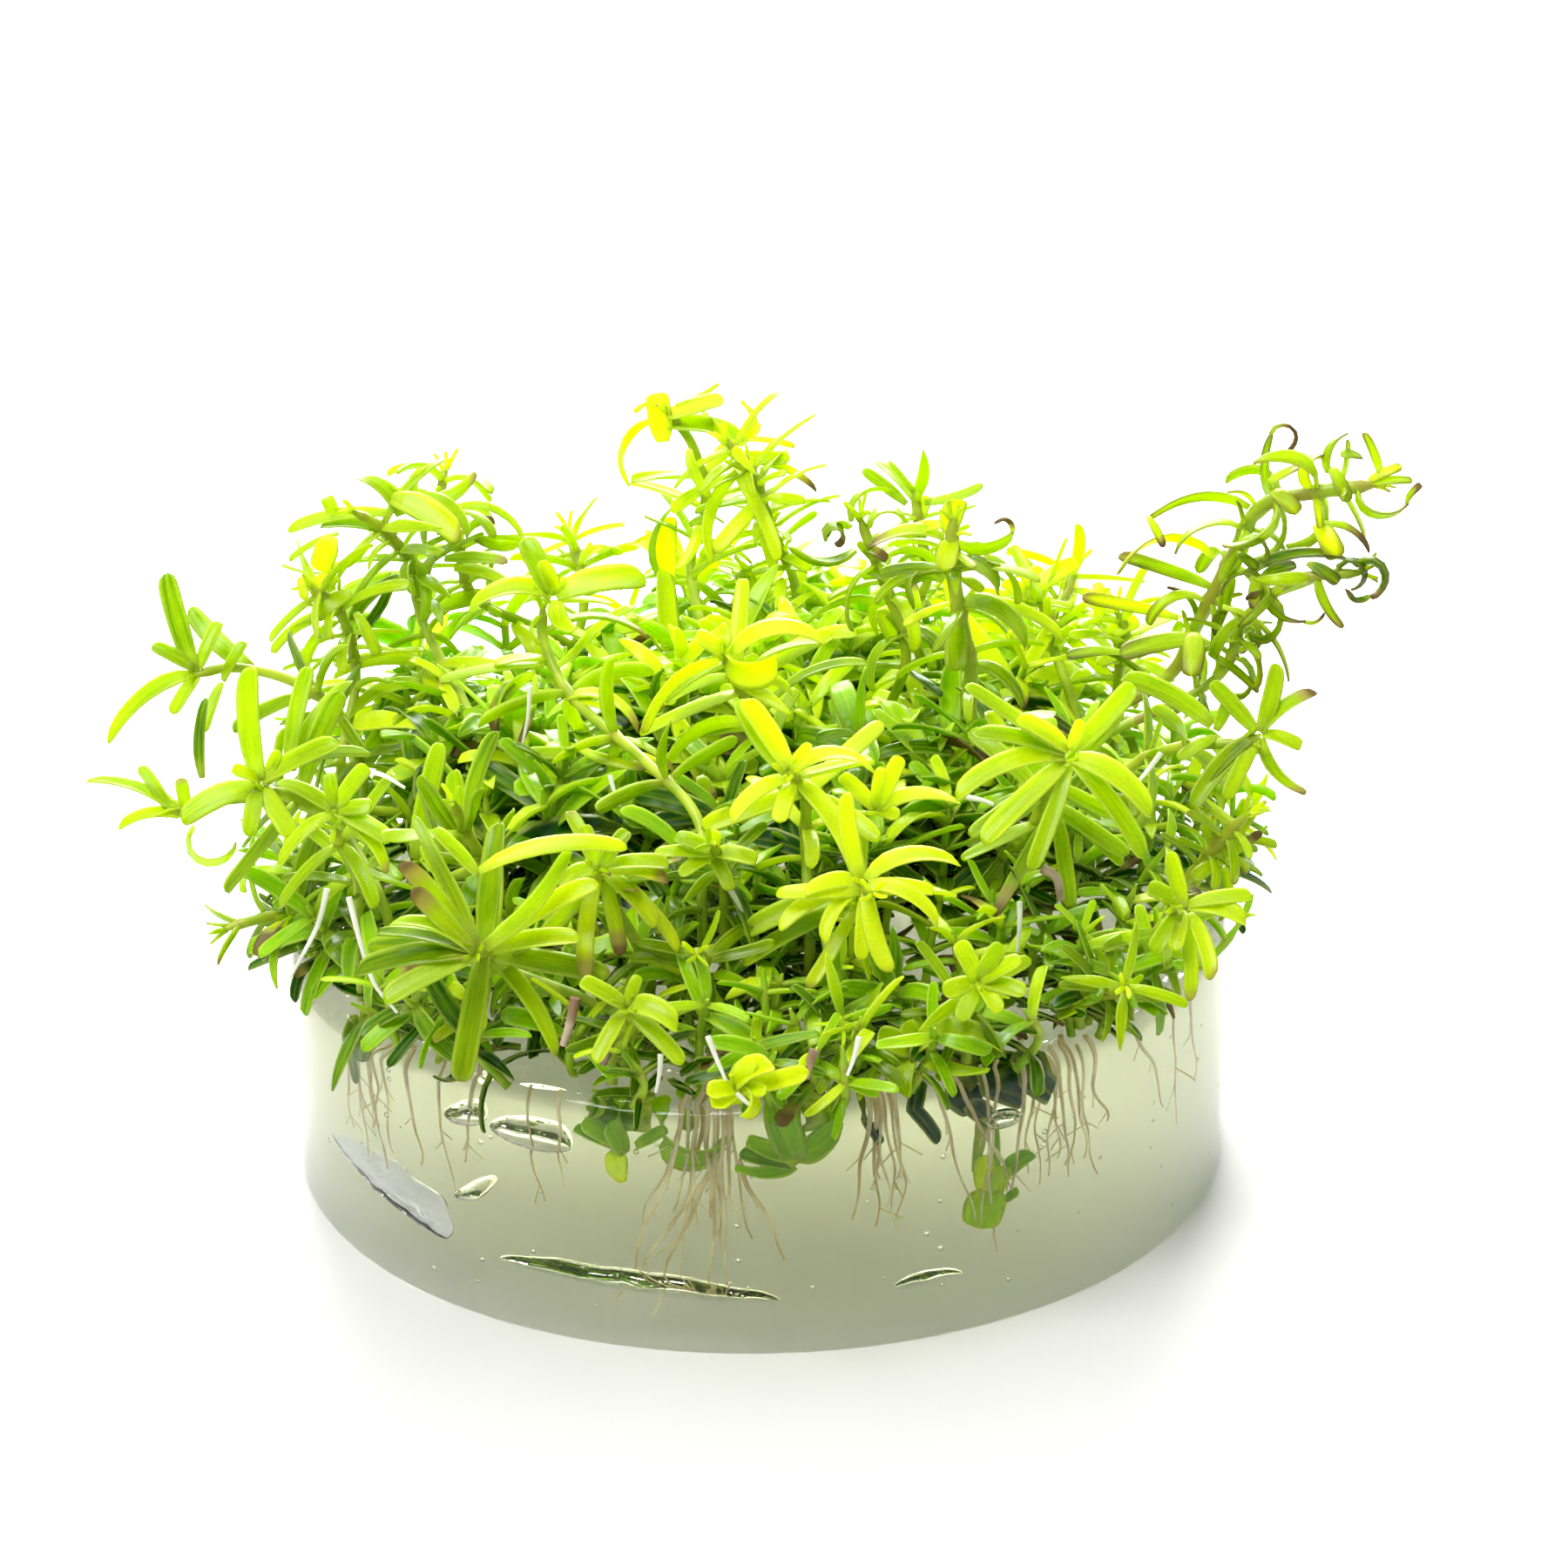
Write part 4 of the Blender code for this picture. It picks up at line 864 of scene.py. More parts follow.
        path=[(27.0, 30, 34), (28.5, 32, 38), (29.5, 34, 40)],
        whorls=2, leaf=6.5, spread=70, curl=25, turn=0, crown=(4, 6.0, 70, 20),
        tone=0.75, age=0.1, wine=0),
}
# leaves that are placed one by one, as they are seen from the front: foot (right and up of the
# shoot's tip), tip, how far the tip comes forward, width, dried share and tone in tenths (of a
# millimetre or of one), how far the face turns to the front in degrees, and the middle if bent
fans = {
    "leftCross": [
        (6, 9, -15, 54, -5, 17, 0, -2, 60), (10, 9, -1, 34, 20, 13, 0, 1, 70),
        (11, 6, 85, 20, 5, 20, 5, 0, 65, 48, 19), (5, 6, -60, -7, 15, 16, 0, 1, 60, -26, 11),
        (12, 2, 24, -26, 30, 16, 0, 2, 60, 13, -14), (16, 2, 58, -1, -10, 7, 3, 3, 30),
        (16, 12, 18, 22, 0, 5, 0, 3, 60), (3, -9, -2, -34, 10, 4, 2, 0, 20, -8, -9),
        (3, -22, 86, -30, 10, 7, 9, -2, 25, 52, -13), (0, -46, -41, -51, 10, 8, 0, 0, 30),
        (-1, -51, -86, -64, 20, 7, 1, -1, 30, -42, -54),
        (6, -55, 41, -21, 0, 6, 0, 0, 40, 23, -43),
        (-8, -59, -21, -119, 20, 7, 16, 0, 60, -10, -88),
        (-8, -57, -38, -111, 20, 11, 11, 0, 50, -33, -72),
        (20, -80, 78, -109, 20, 9, 9, 2, 45, 56, -82), (23, -83, 53, -89, 20, 5, 0, 5, 40),
        (44, -118, 118, -163, 10, 6, 12, 0, 40, 86, -121),
        (32, -122, 90, -138, 20, 9, 9, 1, 60, 59, -133), (27, -127, -13, -127, 10, 11, 0, -1, 70),
        (-26, -65, -40, -108, 0, 11, 16, -3, 50, -37, -78),
    ],
    "middle": [
        (-1, 1, -21, 13, 15, 15, 0, 3, 65), (2, 4, -4, 20, -10, 17, 0, 0, 70),
        (8, -2, 82, 8, 0, 14, 0, 2, 55, 44, 20), (6, -4, 43, -5, 20, 18, 0, 4, 60, 23, -13),
        (-3, -5, -66, -62, 20, 11, 5, 4, 50, -45, -23),
        (2, -9, -46, -40, 10, 6, 0, -1, 30, -22, -21),
        (8, -24, 55, -33, -10, 10, 0, 1, 45, 36, -21),
        (16, -54, -55, -108, 25, 13, 0, -1, 50, -33, -66),
        (26, -9, 85, 8, -10, 6, 0, -2, 25, 52, 4), (34, -46, 119, -9, 0, 7, 0, -3, 25, 60, -21),
        (-21, -100, -12, -121, 10, 12, 15, -3, 60),
    ],
    "brightCross": [
        (-3, 3, -37, 56, 0, 16, 0, 1, 70, -17, 28),
        (-5, -1, -42, 56, -15, 15, 0, -4, 60, -21, 21), (0, 2, 15, 21, 10, 8, 0, 2, 60),
        (2, -1, 63, -1, 5, 12, 0, 1, 50, 33, 12), (4, -5, 64, 7, -10, 8, 0, -1, 30, 35, 1),
        (-4, -5, -48, -37, 25, 12, 0, 2, 55, -28, -15),
        (2, -7, 52, -89, 35, 15, 0, 0, 50, 29, -35), (-1, -8, -11, -39, 30, 13, 0, 1, 60),
        (67, -31, 86, 11, 0, 12, 0, 1, 70), (65, -30, 71, 3, 5, 9, 0, 2, 60),
        (69, -31, 132, -26, 5, 13, 0, 0, 55, 102, -18), (64, -30, 38, -4, 0, 12, 0, 1, 60),
        (68, -33, 84, -37, 20, 10, 0, 2, 55),
    ],
    "frontStar": [
        (-8, 10, -19, 76, 0, 14, 0, 0, 75, -17, 43), (-10, 6, -52, 0, 15, 13, 0, 1, 65, -31, 8),
        (-3, 8, 67, 19, 0, 13, 0, 0, 50, 32, 26), (-4, 2, 12, -62, 20, 14, 3, 1, 50, 0, -30),
        (-11, 3, -72, -28, 15, 13, 0, 1, 55, -41, -4),
        (-11, -4, -99, -33, -10, 16, 0, -4, 60, -58, -14),
        (-11, -10, -101, -58, -10, 13, 0, -4, 50, -54, -30),
        (-2, 3, 49, -27, 15, 12, 0, 0, 55, 28, -4), (-2, 5, 47, -2, 0, 9, 0, 0, 40),
        (-7, 0, -37, -39, 25, 10, 2, 2, 40, -28, -14), (-5, -1, -9, -53, 20, 11, 0, 0, 45),
        (-8, -8, -50, -76, 20, 10, 6, 3, 50, -28, -43),
    ],
    "frontLeftStar": [
        (-1, 1, -47, 48, 10, 13, 11, 0, 65, -28, 28), (-1, 2, -56, 68, 0, 13, 12, 0, 60, -31, 42),
        (0, 4, -41, 81, -10, 12, 4, 0, 60, -21, 48), (1, 5, -48, 103, -20, 9, 0, -2, 60),
        (3, 2, 72, 74, 10, 13, 0, 1, 65, 45, 35), (3, 1, 91, 51, 10, 14, 0, 4, 60, 48, 32),
        (3, -3, 77, 7, 20, 14, 0, 2, 55, 41, 5), (3, -6, 56, -82, 30, 14, 5, 1, 55, 35, -40),
        (-1, -7, -37, -71, 30, 13, 4, 2, 50, -14, -52),
        (-3, -4, -68, -35, 20, 15, 0, 0, 60, -34, -16), (-4, -2, -90, -16, -15, 16, 0, -3, 50),
        (-3, 0, -63, 22, 10, 11, 0, 0, 50, -31, 19), (-4, 0, -76, 14, -10, 9, 0, -2, 40),
        (3, 61, 114, 78, 0, 11, 0, 3, 50, 61, 81), (1, 59, -31, 93, 0, 10, 2, 0, 60),
    ],
    "frontLeftUpright": [
        (-42, -47, -21, 46, 0, 16, 0, 1, 80), (12, -55, -4, 24, 0, 16, 5, 0, 80, 2, -18),
        (-13, -45, -30, 9, -20, 14, 0, -2, 75),
    ],
    "frontLeftInner": [
        (3, -3, 54, -11, 15, 12, 10, 3, 55, 29, -2), (3, -1, 54, 1, 0, 10, 0, 0, 45),
        (4, -5, 44, -45, 20, 13, 0, 2, 55, 26, -22), (3, -7, 16, -67, 20, 12, 11, 2, 55, 11, -39),
        (-1, -6, -10, -84, 25, 13, 9, 3, 55, -9, -42),
        (-2, -3, -29, -16, 15, 11, 0, 0, 50, -17, -5),
        (5, -7, 60, -65, 10, 11, 3, 2, 50, 36, -32), (0, 0, -11, 33, 0, 11, 0, 0, 65),
        (3, 0, 24, 28, 0, 11, 0, -1, 60),
    ],
    "frontLeftLow": [
        (-4, 2, -37, 21, 10, 12, 0, 1, 60), (0, 1, 36, -13, 15, 15, 0, 2, 60, 18, 0),
        (-4, -2, -25, -39, 20, 12, 2, 2, 55, -15, -20),
        (0, -2, 40, -40, 20, 12, 2, 1, 55, 21, -20), (-2, 3, 7, 26, 0, 9, 0, 1, 60),
    ],
    "frontMiddle": [
        (-11, -17, -36, -17, 10, 11, 0, 3, 60), (-7, -15, 17, 0, 0, 12, 0, 2, 60),
        (-8, -20, 6, -52, 20, 12, 2, 3, 55), (-6, -19, 21, -57, 20, 13, 0, 3, 55),
        (-10, -15, -24, 11, 0, 10, 0, 0, 60),
    ],
    "centreSmall": [
        (0, -8, -43, -9, 10, 11, 0, 2, 60), (1, -11, -23, -25, 20, 10, 0, 2, 55),
        (4, -8, 36, -16, 10, 13, 0, 2, 60), (1, -6, -27, 4, 0, 11, 0, 1, 60),
        (3, -5, 6, 10, 10, 10, 0, 3, 60), (3, -11, 16, -37, 20, 11, 0, 0, 55),
    ],
    "leftHigh": [
        (1, 4, -22, 86, 0, 16, 0, -1, 75, -12, 45), (46, 6, -9, 58, -20, 15, 0, 0, 60, 17, 28),
        (2, 1, -71, -54, 5, 14, 2, 1, 50, -38, -14), (0, 6, -33, 25, 5, 11, 4, 0, 55),
        (5, 6, 21, 45, -10, 11, 0, 0, 60), (3, -1, -14, -32, 20, 12, 0, 1, 50),
        (24, -4, 43, 28, 0, 9, 0, 0, 50), (22, -7, 11, -47, 20, 9, 3, 0, 50),
    ],
    "leftRosette": [
        (0, 8, -7, 99, 5, 17, 0, 1, 75, -8, 54), (20, 21, 34, 100, -20, 13, 0, 0, 70, 25, 61),
        (22, 16, 68, 88, -25, 13, 0, -1, 60, 32, 44), (2, 7, 64, 37, 10, 14, 0, 1, 60, 36, 26),
        (4, 6, 86, 29, -10, 10, 0, -2, 45, 46, 29), (-2, 8, -20, 16, 20, 10, 0, 3, 60),
        (-3, 4, -61, -22, 15, 17, 0, 1, 60, -30, -3), (2, 3, 27, -37, 20, 15, 2, 2, 55, 13, -15),
        (-2, 2, -6, -36, 25, 13, 0, 0, 50), (-46, 11, -44, 75, -10, 9, 0, -2, 60, -49, 40),
        (5, 8, 16, 32, 10, 9, 0, 2, 60),
    ],
    "leftOuter": [
        (6, -6, -73, 24, 0, 11, 3, 0, 50, -33, 18), (10, -6, 5, 26, 0, 10, 7, 0, 60),
        (15, -15, 52, -28, 15, 10, 7, 2, 45, 21, -41),
        (3, -6, -45, -15, 10, 9, 2, 1, 45, -22, -4), (-4, -2, -30, 36, -10, 9, 1, 0, 50),
    ],
    "leftLow": [
        (-1, 13, -43, 35, 5, 12, 0, 0, 60, -23, 28), (2, 14, 27, 47, 0, 12, 0, 1, 60),
        (3, 10, 45, -13, 15, 13, 0, 1, 55), (-2, 9, -41, -29, 15, 12, 2, 1, 55, -23, -4),
        (3, 12, 31, 15, 10, 11, 0, 0, 55), (3, 9, 44, -36, 20, 10, 6, 1, 45, 22, -1),
        (1, 14, -3, 42, 0, 10, 0, 0, 65), (21, -137, 17, -189, 10, 23, 0, -3, 60),
        (39, -137, 59, -187, 10, 25, 0, -4, 60), (1, -155, 9, -208, 10, 14, 0, -3, 60),
        (59, -148, 80, -182, 10, 20, 0, -4, 60),
    ],
    "rightRosette": [
        (2, 9, -75, 60, 0, 12, 0, 0, 60, -37, 34), (3, 10, -36, 33, 15, 14, 0, 2, 60),
        (1, 6, -68, 22, 5, 12, 0, 0, 50, -30, 17), (9, 10, 56, 59, 5, 15, 0, 1, 70, 34, 34),
        (9, 2, 66, -42, 20, 18, 0, 2, 55, 41, -13), (8, -1, 60, -74, 20, 14, 3, 0, 50, 37, -34),
        (3, 0, -63, -62, 25, 16, 0, 2, 60, -27, -27), (1, 3, -84, -26, 20, 14, 0, 2, 50, -40, 1),
        (6, -2, -27, -83, 20, 12, 2, 0, 50, -10, -44),
        (1, -36, 50, -82, 20, 11, 4, 0, 50, 26, -57), (0, -39, 8, -114, 30, 12, 4, 0, 50),
        (-2, -37, -52, -121, 30, 10, 10, 0, 50, -24, -74), (7, 10, 14, 33, 10, 9, 0, 3, 60),
    ],
    "rightMiddle": [
        (11, 9, 26, 64, 0, 14, 0, 1, 75, 21, 38), (13, 8, 56, 40, 10, 9, 10, 0, 40, 33, 29),
        (8, 9, -28, 50, 0, 13, 0, 0, 65, -11, 31), (7, 5, -47, -52, 20, 14, 2, 0, 55, -22, -19),
        (9, 4, -20, -45, 25, 12, 2, 1, 50), (7, 6, -36, -33, 10, 11, 0, -2, 50),
        (12, 4, 44, -42, 20, 11, 7, 0, 50, 22, -26), (14, 6, 42, -6, 10, 11, 3, 1, 50),
        (-27, 15, -99, 55, 0, 16, 0, 0, 60, -64, 41), (-25, 5, -56, -13, 20, 11, 0, 0, 50),
        (-23, 11, -8, 41, 0, 10, 0, 0, 60),
    ],
    "rightLow": [
        (10, -1, -2, 42, 5, 13, 0, 1, 70, 3, 21), (14, -2, 57, -14, 15, 14, 3, 1, 55, 35, -3),
        (14, 0, 63, 6, 0, 10, 3, 0, 50), (10, -6, 2, -35, 20, 12, 0, 2, 55),
        (8, -5, -15, -36, 15, 12, 0, 0, 50), (14, -7, 29, -57, 25, 12, 7, 1, 50, 25, -30),
        (12, -8, 13, -74, 20, 11, 9, 1, 50, 15, -41), (8, -1, -19, 14, 5, 12, 0, 0, 55),
    ],
    "rightEdge": [
        (-18, -37, 6, 1, 0, 11, 6, 0, 60, -7, -15), (-16, -39, 12, -16, 5, 6, 14, 0, 50),
        (-16, -41, -4, -50, 15, 9, 8, 1, 45, -7, -40), (-21, -37, -35, -8, 0, 10, 2, 0, 60),
        (-22, -41, -45, -54, 15, 10, 4, 0, 50), (-19, -44, -16, -72, 20, 8, 13, 0, 50),
    ],
    "thick": [
        (-3, -14, 4, 14, 0, 18, 3, 2, 80, -1, 0),
        (-8, -18, -69, -26, 10, 11, 10, 0, 50, -39, -13),
        (3, -20, 49, -15, 5, 8, 3, 0, 40, 29, -25), (47, -17, 34, -7, 5, 4, 24, 0, 30, 50, -6),
        (-2, -21, -8, -46, 30, 16, 3, 2, 55), (-8, -8, -32, -13, -10, 9, 3, 4, 50),
        (3, -15, 14, -17, 20, 5, 0, 3, 50), (-7, -51, -33, -76, 20, 10, 0, -3, 45, -31, -46),
        (-8, -43, -60, -46, -10, 8, 0, -3, 40), (4, -39, 36, -64, 15, 17, 3, -2, 60, 26, -45),
        (8, -41, 52, -71, -10, 9, 0, -1, 45, 40, -41), (9, -50, 22, -63, 20, 11, 0, 3, 60),
        (10, -70, 59, -107, 10, 16, 0, -2, 55, 40, -79),
        (10, -74, 92, -102, -10, 11, 2, 1, 50, 55, -77), (3, -87, 1, -127, 25, 17, 0, -1, 60),
        (-3, -71, -41, -89, 10, 6, 0, 5, 50), (17, -122, 56, -157, 20, 11, 0, -2, 45, 40, -131),
    ],
    "curled": [
        (-6, -5, 26, 19, 0, 6, 2, -1, 50, -2, 14), (9, -10, 41, -15, 10, 13, 3, 0, 45, 29, 2),
        (-7, -10, -28, -20, 0, 7, 5, -1, 45, -25, -8),
        (-27, -19, -21, -24, 0, 9, 15, -3, 45, -16, -12), (-1, -4, 9, 1, 10, 5, 0, 0, 50),
        (1, -27, 22, -40, 10, 10, 17, -3, 50), (-3, -30, -60, -26, -10, 9, 0, -3, 40, -23, -42),
        (7, -47, 32, -57, 10, 9, 5, -2, 50), (19, -73, -45, -89, 0, 7, 0, -2, 40, -12, -69),
        (27, -106, 16, -80, 20, 13, 0, 1, 60), (32, -106, 66, -131, 15, 12, 0, -3, 50, 44, -97),
    ],
    "backSmall": [
        (-7, -16, -46, 16, 0, 10, 2, -2, 60, -29, 3), (10, -15, 63, 0, 0, 9, 2, -1, 50, 39, -10),
        (1, -8, -23, 23, 0, 4, 3, 0, 50), (4, -33, 13, -9, 0, 10, 0, 2, 70),
    ],
    "rightBackInner": [
        (-6, -8, 39, 22, 0, 15, 0, 2, 70), (-9, -7, 9, 16, -10, 15, 0, 1, 70),
        (5, -16, 33, -21, 10, 6, 0, -1, 40), (-7, -13, -27, 4, 10, 12, 0, 3, 60, -20, 1),
    ],
    "rightBackOuter": [
        (-14, -14, -14, 22, 0, 10, 0, 1, 75), (-7, -24, 21, -11, 0, 14, 0, 2, 70),
    ],
    "tallBackLeft": [
        (-2, -29, -6, 14, 5, 20, 0, 2, 80), (-14, -11, -33, -70, 10, 9, 0, 2, 50, -40, -34),
        (-16, 4, -27, -4, 0, 4, 5, 0, 50), (2, -8, 54, 6, 0, 16, 3, 0, 60, 29, 0),
        (2, -16, 70, -31, 0, 17, 0, -2, 60, 37, -19), (10, 2, 50, 22, -10, 4, 2, 0, 50, 29, 9),
        (69, -26, 69, 6, 0, 8, 3, 0, 60, 78, -8), (69, -27, 117, -34, 0, 5, 5, 2, 50),
        (65, -42, 112, -46, 0, 13, 0, 0, 60, 92, -46),
        (78, -47, 136, -74, 0, 9, 11, 1, 55, 112, -56),
        (0, -154, 0, -94, 10, 23, 0, 4, 80, -4, -127),
        (-4, -152, 7, -85, 15, 7, 3, -2, 60, -15, -125),
    ],
    "tallBackRight": [
        (-33, -10, -15, -54, 10, 10, 0, 0, 60, -28, -33),
        (10, -29, -16, -111, 20, 12, 0, 1, 70, -14, -56), (40, -46, -12, -102, 20, 13, 5, 4, 75),
        (10, -33, 46, -111, 20, 12, 0, 2, 75, 31, -68), (27, -68, 43, -119, 10, 10, 0, 3, 75),
        (-26, -76, -45, -116, 10, 11, 3, 3, 75, -32, -99),
        (12, -124, 72, -119, 10, 5, 0, -2, 40, 49, -115), (-33, -119, 27, -95, 10, 5, 0, -1, 40),
        (-14, -66, -33, -77, 10, 7, 4, -2, 40),
    ],
    "upperLeftFront": [
        (78, 9, 62, 39, 0, 10, 0, 2, 50, 46, 16), (70, 11, 107, 31, 0, 14, 9, 0, 60, 93, 17),
        (40, -3, 6, 29, 5, 15, 4, -2, 60, 29, 18), (34, 10, 95, -25, 20, 21, 6, 2, 65, 66, -2),
        (50, 9, 99, -23, 0, 12, 3, -1, 55, 80, 5), (32, -2, -57, -16, 5, 11, 2, 0, 50, -13, -3),
        (36, -21, -29, -13, 10, 13, 0, -2, 60, 2, -11), (-14, -5, -21, 11, 0, 11, 2, 0, 70),
        (-11, -20, -53, -44, 5, 6, 0, 0, 40), (11, -30, -62, -47, 10, 11, 3, 0, 55, -22, -52),
        (31, -55, -25, -126, 20, 10, 0, -4, 60, 12, -96),
        (51, -41, 60, -96, 20, 10, 0, -2, 60, 62, -66),
        (77, -41, 133, -45, 10, 11, 9, -2, 60, 104, -41),
        (85, -49, 140, -70, 10, 11, 0, 1, 55, 112, -53),
        (57, -134, -19, -144, 20, 14, 0, 2, 55, 17, -128),
        (59, -152, -9, -184, 20, 13, 0, 0, 50, 21, -156), (64, -134, 128, -138, 10, 10, 0, 2, 45),
        (60, -138, 72, -159, 30, 15, 0, 2, 60), (57, -168, 63, -203, 20, 20, 0, -3, 60),
    ],
    "upperLeftBack": [
        (6, -41, 67, -67, 0, 7, 2, -1, 50, 47, -42),
        (66, -64, 25, -67, 10, 12, 8, 0, 55, 51, -75),
        (18, -60, 43, -50, 10, 7, 14, 0, 50, 31, -50), (-33, -101, -94, -121, 10, 19, 0, -2, 60),
        (-10, -128, 37, -121, 10, 16, 0, 0, 60),
    ],
    "upperLeftOuter": [
        (13, -27, -35, -57, 5, 7, 0, 0, 45, -10, -36),
        (-8, -85, 21, -30, 10, 10, 0, 0, 65, -5, -57), (38, -24, 57, -61, 10, 10, 0, 0, 60),
        (21, 42, 9, 13, -10, 20, 0, 3, 75), (-7, 6, -3, -13, 10, 8, 2, 3, 55),
        (23, 9, 0, -6, 0, 15, 0, 2, 60), (34, -6, 6, -25, 10, 14, 0, 1, 55),
    ],
    "rightArch": [
        (-103, -15, -189, -23, 0, 8, 3, 0, 45, -150, -4),
        (-189, -23, -177, -49, 10, 7, 12, 2, 55), (-99, -15, -123, -4, 10, 4, 3, 2, 45, -109, -4),
        (-130, -55, -213, -69, 10, 8, 3, 2, 45, -166, -36),
        (-132, -81, -211, -54, 5, 11, 8, -2, 55, -169, -67),
        (-159, -106, -241, -87, 10, 9, 8, 2, 55, -198, -96),
        (-143, -110, -169, -80, 15, 5, 10, -4, 45, -147, -90),
        (-83, -15, -86, 45, 0, 8, 8, -2, 60, -94, 17),
        (-86, 45, -72, 31, 0, 3, 24, -4, 40, -76, 56),
        (-88, 4, -59, 17, 5, 8, 13, 0, 55, -74, 11), (-84, -4, -68, -24, 20, 14, 0, 0, 60),
        (-51, -3, -41, 23, 0, 7, 9, 2, 55, -57, 19), (-38, 15, -27, -15, 15, 11, 0, -1, 60),
        (-40, 11, -24, 43, 0, 7, 9, -2, 55, -37, 35), (-30, 26, -12, 22, 0, 10, 7, -2, 55),
        (2, 7, -12, 43, 0, 8, 7, 0, 60, -4, 26), (-7, 3, 19, 14, 5, 8, 3, 2, 60),
        (-5, 0, 27, 1, 10, 8, 5, -1, 55), (-16, -4, 22, -16, 15, 7, 7, -1, 50, -6, -23),
        (22, -16, 32, -4, 15, 7, 15, -2, 50), (-51, -9, -49, -36, 10, 7, 0, 2, 60),
        (-50, -32, -34, -61, 10, 16, 2, 4, 60), (-49, -34, -8, -56, 10, 6, 15, -1, 50, -25, -36),
    ],
    "rightArchSide": [
        (-115, -5, -97, 26, 0, 8, 4, -1, 60, -107, 12),
        (-100, 22, -82, 11, 0, 7, 5, 0, 45, -85, 29), (-102, 18, -87, 5, 5, 8, 3, -2, 55),
        (-92, -1, -97, -18, 15, 9, 12, 0, 50, -80, -5), (-88, -5, -91, -29, 15, 10, 10, 1, 50),
        (-95, -1, -11, 11, 5, 10, 3, -3, 50, -56, 15), (-83, -4, -55, 6, 15, 10, 2, -3, 55),
        (-46, 8, -23, -9, 10, 10, 5, -3, 55), (-23, -2, -13, -14, 10, 9, 7, -4, 50, -11, 12),
        (-8, 5, 2, -20, 10, 8, 9, -3, 45, 9, 8), (3, -20, -19, -15, 10, 6, 10, -4, 45, -9, -25),
        (-77, -4, -49, -39, 10, 7, 8, -1, 50, -74, -28),
        (-49, -38, -34, -33, 10, 2, 12, 0, 40, -41, -40),
        (-39, -2, -21, -46, 10, 9, 8, -1, 60, -35, -25),
        (-113, -25, -60, -88, 10, 6, 3, 2, 45, -82, -40),
        (-118, -57, -87, -93, 10, 8, 2, 2, 50, -96, -53), (-122, -63, -83, -97, 15, 8, 0, -1, 50),
        (-136, -51, -199, -64, 15, 15, 0, 0, 60, -167, -55),
        (-135, -47, -141, -83, 20, 18, 3, 2, 60), (-195, -61, -242, -64, 10, 8, 0, 0, 45),
    ],
    "sprigLeft": [
        (49, -5, 3, 0, 5, 9, 0, -2, 50, 29, 2), (30, -25, -3, -3, 8, 13, 0, 0, 55, 14, -14),
        (29, -27, 18, -3, 12, 16, 0, 0, 60, 22, -14),
        (31, -25, -10, -10, 4, 10, 0, -1, 50, 10, -19),
        (26, -27, 23, -51, 10, 18, 0, 4, 60, 22, -39),
        (38, -22, 63, -9, 0, 10, 0, 1, 50, 49, -17),
        (61, -16, 104, -14, 5, 18, 0, 0, 55, 78, -27), (82, -7, 70, 13, 5, 20, 0, -1, 55, 76, 2),
        (-101, 48, -123, 29, 5, 10, 0, -6, 50, -91, 39),
    ],
    "sprigMiddle": [
        (4, -23, -17, 26, 8, 26, 0, 0, 65, -8, 0), (4, -18, -35, -8, 10, 16, 0, 2, 60, -16, -16),
        (4, -18, 37, 7, 4, 23, 0, 0, 60, 20, -11), (1, -26, -43, -29, 12, 13, 0, 1, 55, -20, -33),
        (-3, -27, -40, -15, 5, 10, 0, -1, 50, -26, -20), (52, 11, 66, -10, 0, 8, 0, -5, 55),
    ],
    "sprigDeep": [
        (15, -18, 8, -47, 12, 32, 0, 2, 72), (11, -19, 9, 13, 8, 17, 0, 4, 65),
        (20, -19, 24, 3, 4, 15, 0, 2, 65), (27, -5, 51, 10, 2, 17, 0, 0, 60, 37, 4),
        (27, -25, 39, -19, 5, 8, 0, -1, 55), (20, 1, 17, 36, 0, 6, 0, 0, 50),
        (-28, 76, 1, 54, -10, 25, 0, -8, 60, -15, 65), (2, 69, 37, 57, -10, 26, 0, -8, 60),
        (37, 73, 62, 58, -10, 22, 0, -8, 60), (-7, 55, 12, 35, -10, 19, 0, -7, 60),
        (-56, 59, -28, 26, 0, 11, 0, -6, 55, -43, 47),
    ],
    "frontLow": [
        (-5, -3, 8, 20, 20, 13, 0, 1, 65), (-5, -4, 23, 14, 20, 14, 0, 1, 60, 8, 11),
        (-5, -6, 49, 9, 20, 12, 4, 1, 60, 17, -1), (-7, -6, -27, -6, 20, 13, 0, 0, 65),
        (-7, -7, -23, -16, 20, 14, 0, 0, 60, -15, -12),
        (-4, -7, -2, -23, 20, 12, 3, 0, 60, 6, -12), (-2, -4, 17, -6, 20, 10, 0, 0, 60),
    ],
    "frontRightLow": [
        (58, -21, 12, -54, 20, 16, 0, 0, 60, 35, -25), (58, -20, 48, 0, 10, 14, 0, 0, 60),
        (60, -21, 120, -22, 20, 17, 0, 0, 62, 81, -8),
        (61, -24, 110, -37, 30, 16, 0, 0, 60, 81, -38),
        (56, -24, 48, -56, 20, 13, 4, 0, 60, 48, -37), (54, -22, 27, -10, 20, 18, 0, 0, 62),
    ],
    "frontRight": [
        (-4, 7, 26, 23, 20, 14, 0, 2, 62), (-4, 5, 6, -16, 30, 13, 0, 1, 60),
        (-6, 7, -21, 38, 10, 13, 0, 1, 62), (-7, 5, -33, -1, 20, 13, 0, 0, 60),
        (-4, 8, 12, 36, 10, 13, 0, 0, 62), (-6, 4, -21, -21, 30, 13, 0, 0, 60),
        (-3, 5, 29, -1, 20, 12, 0, 0, 60),
    ],
}


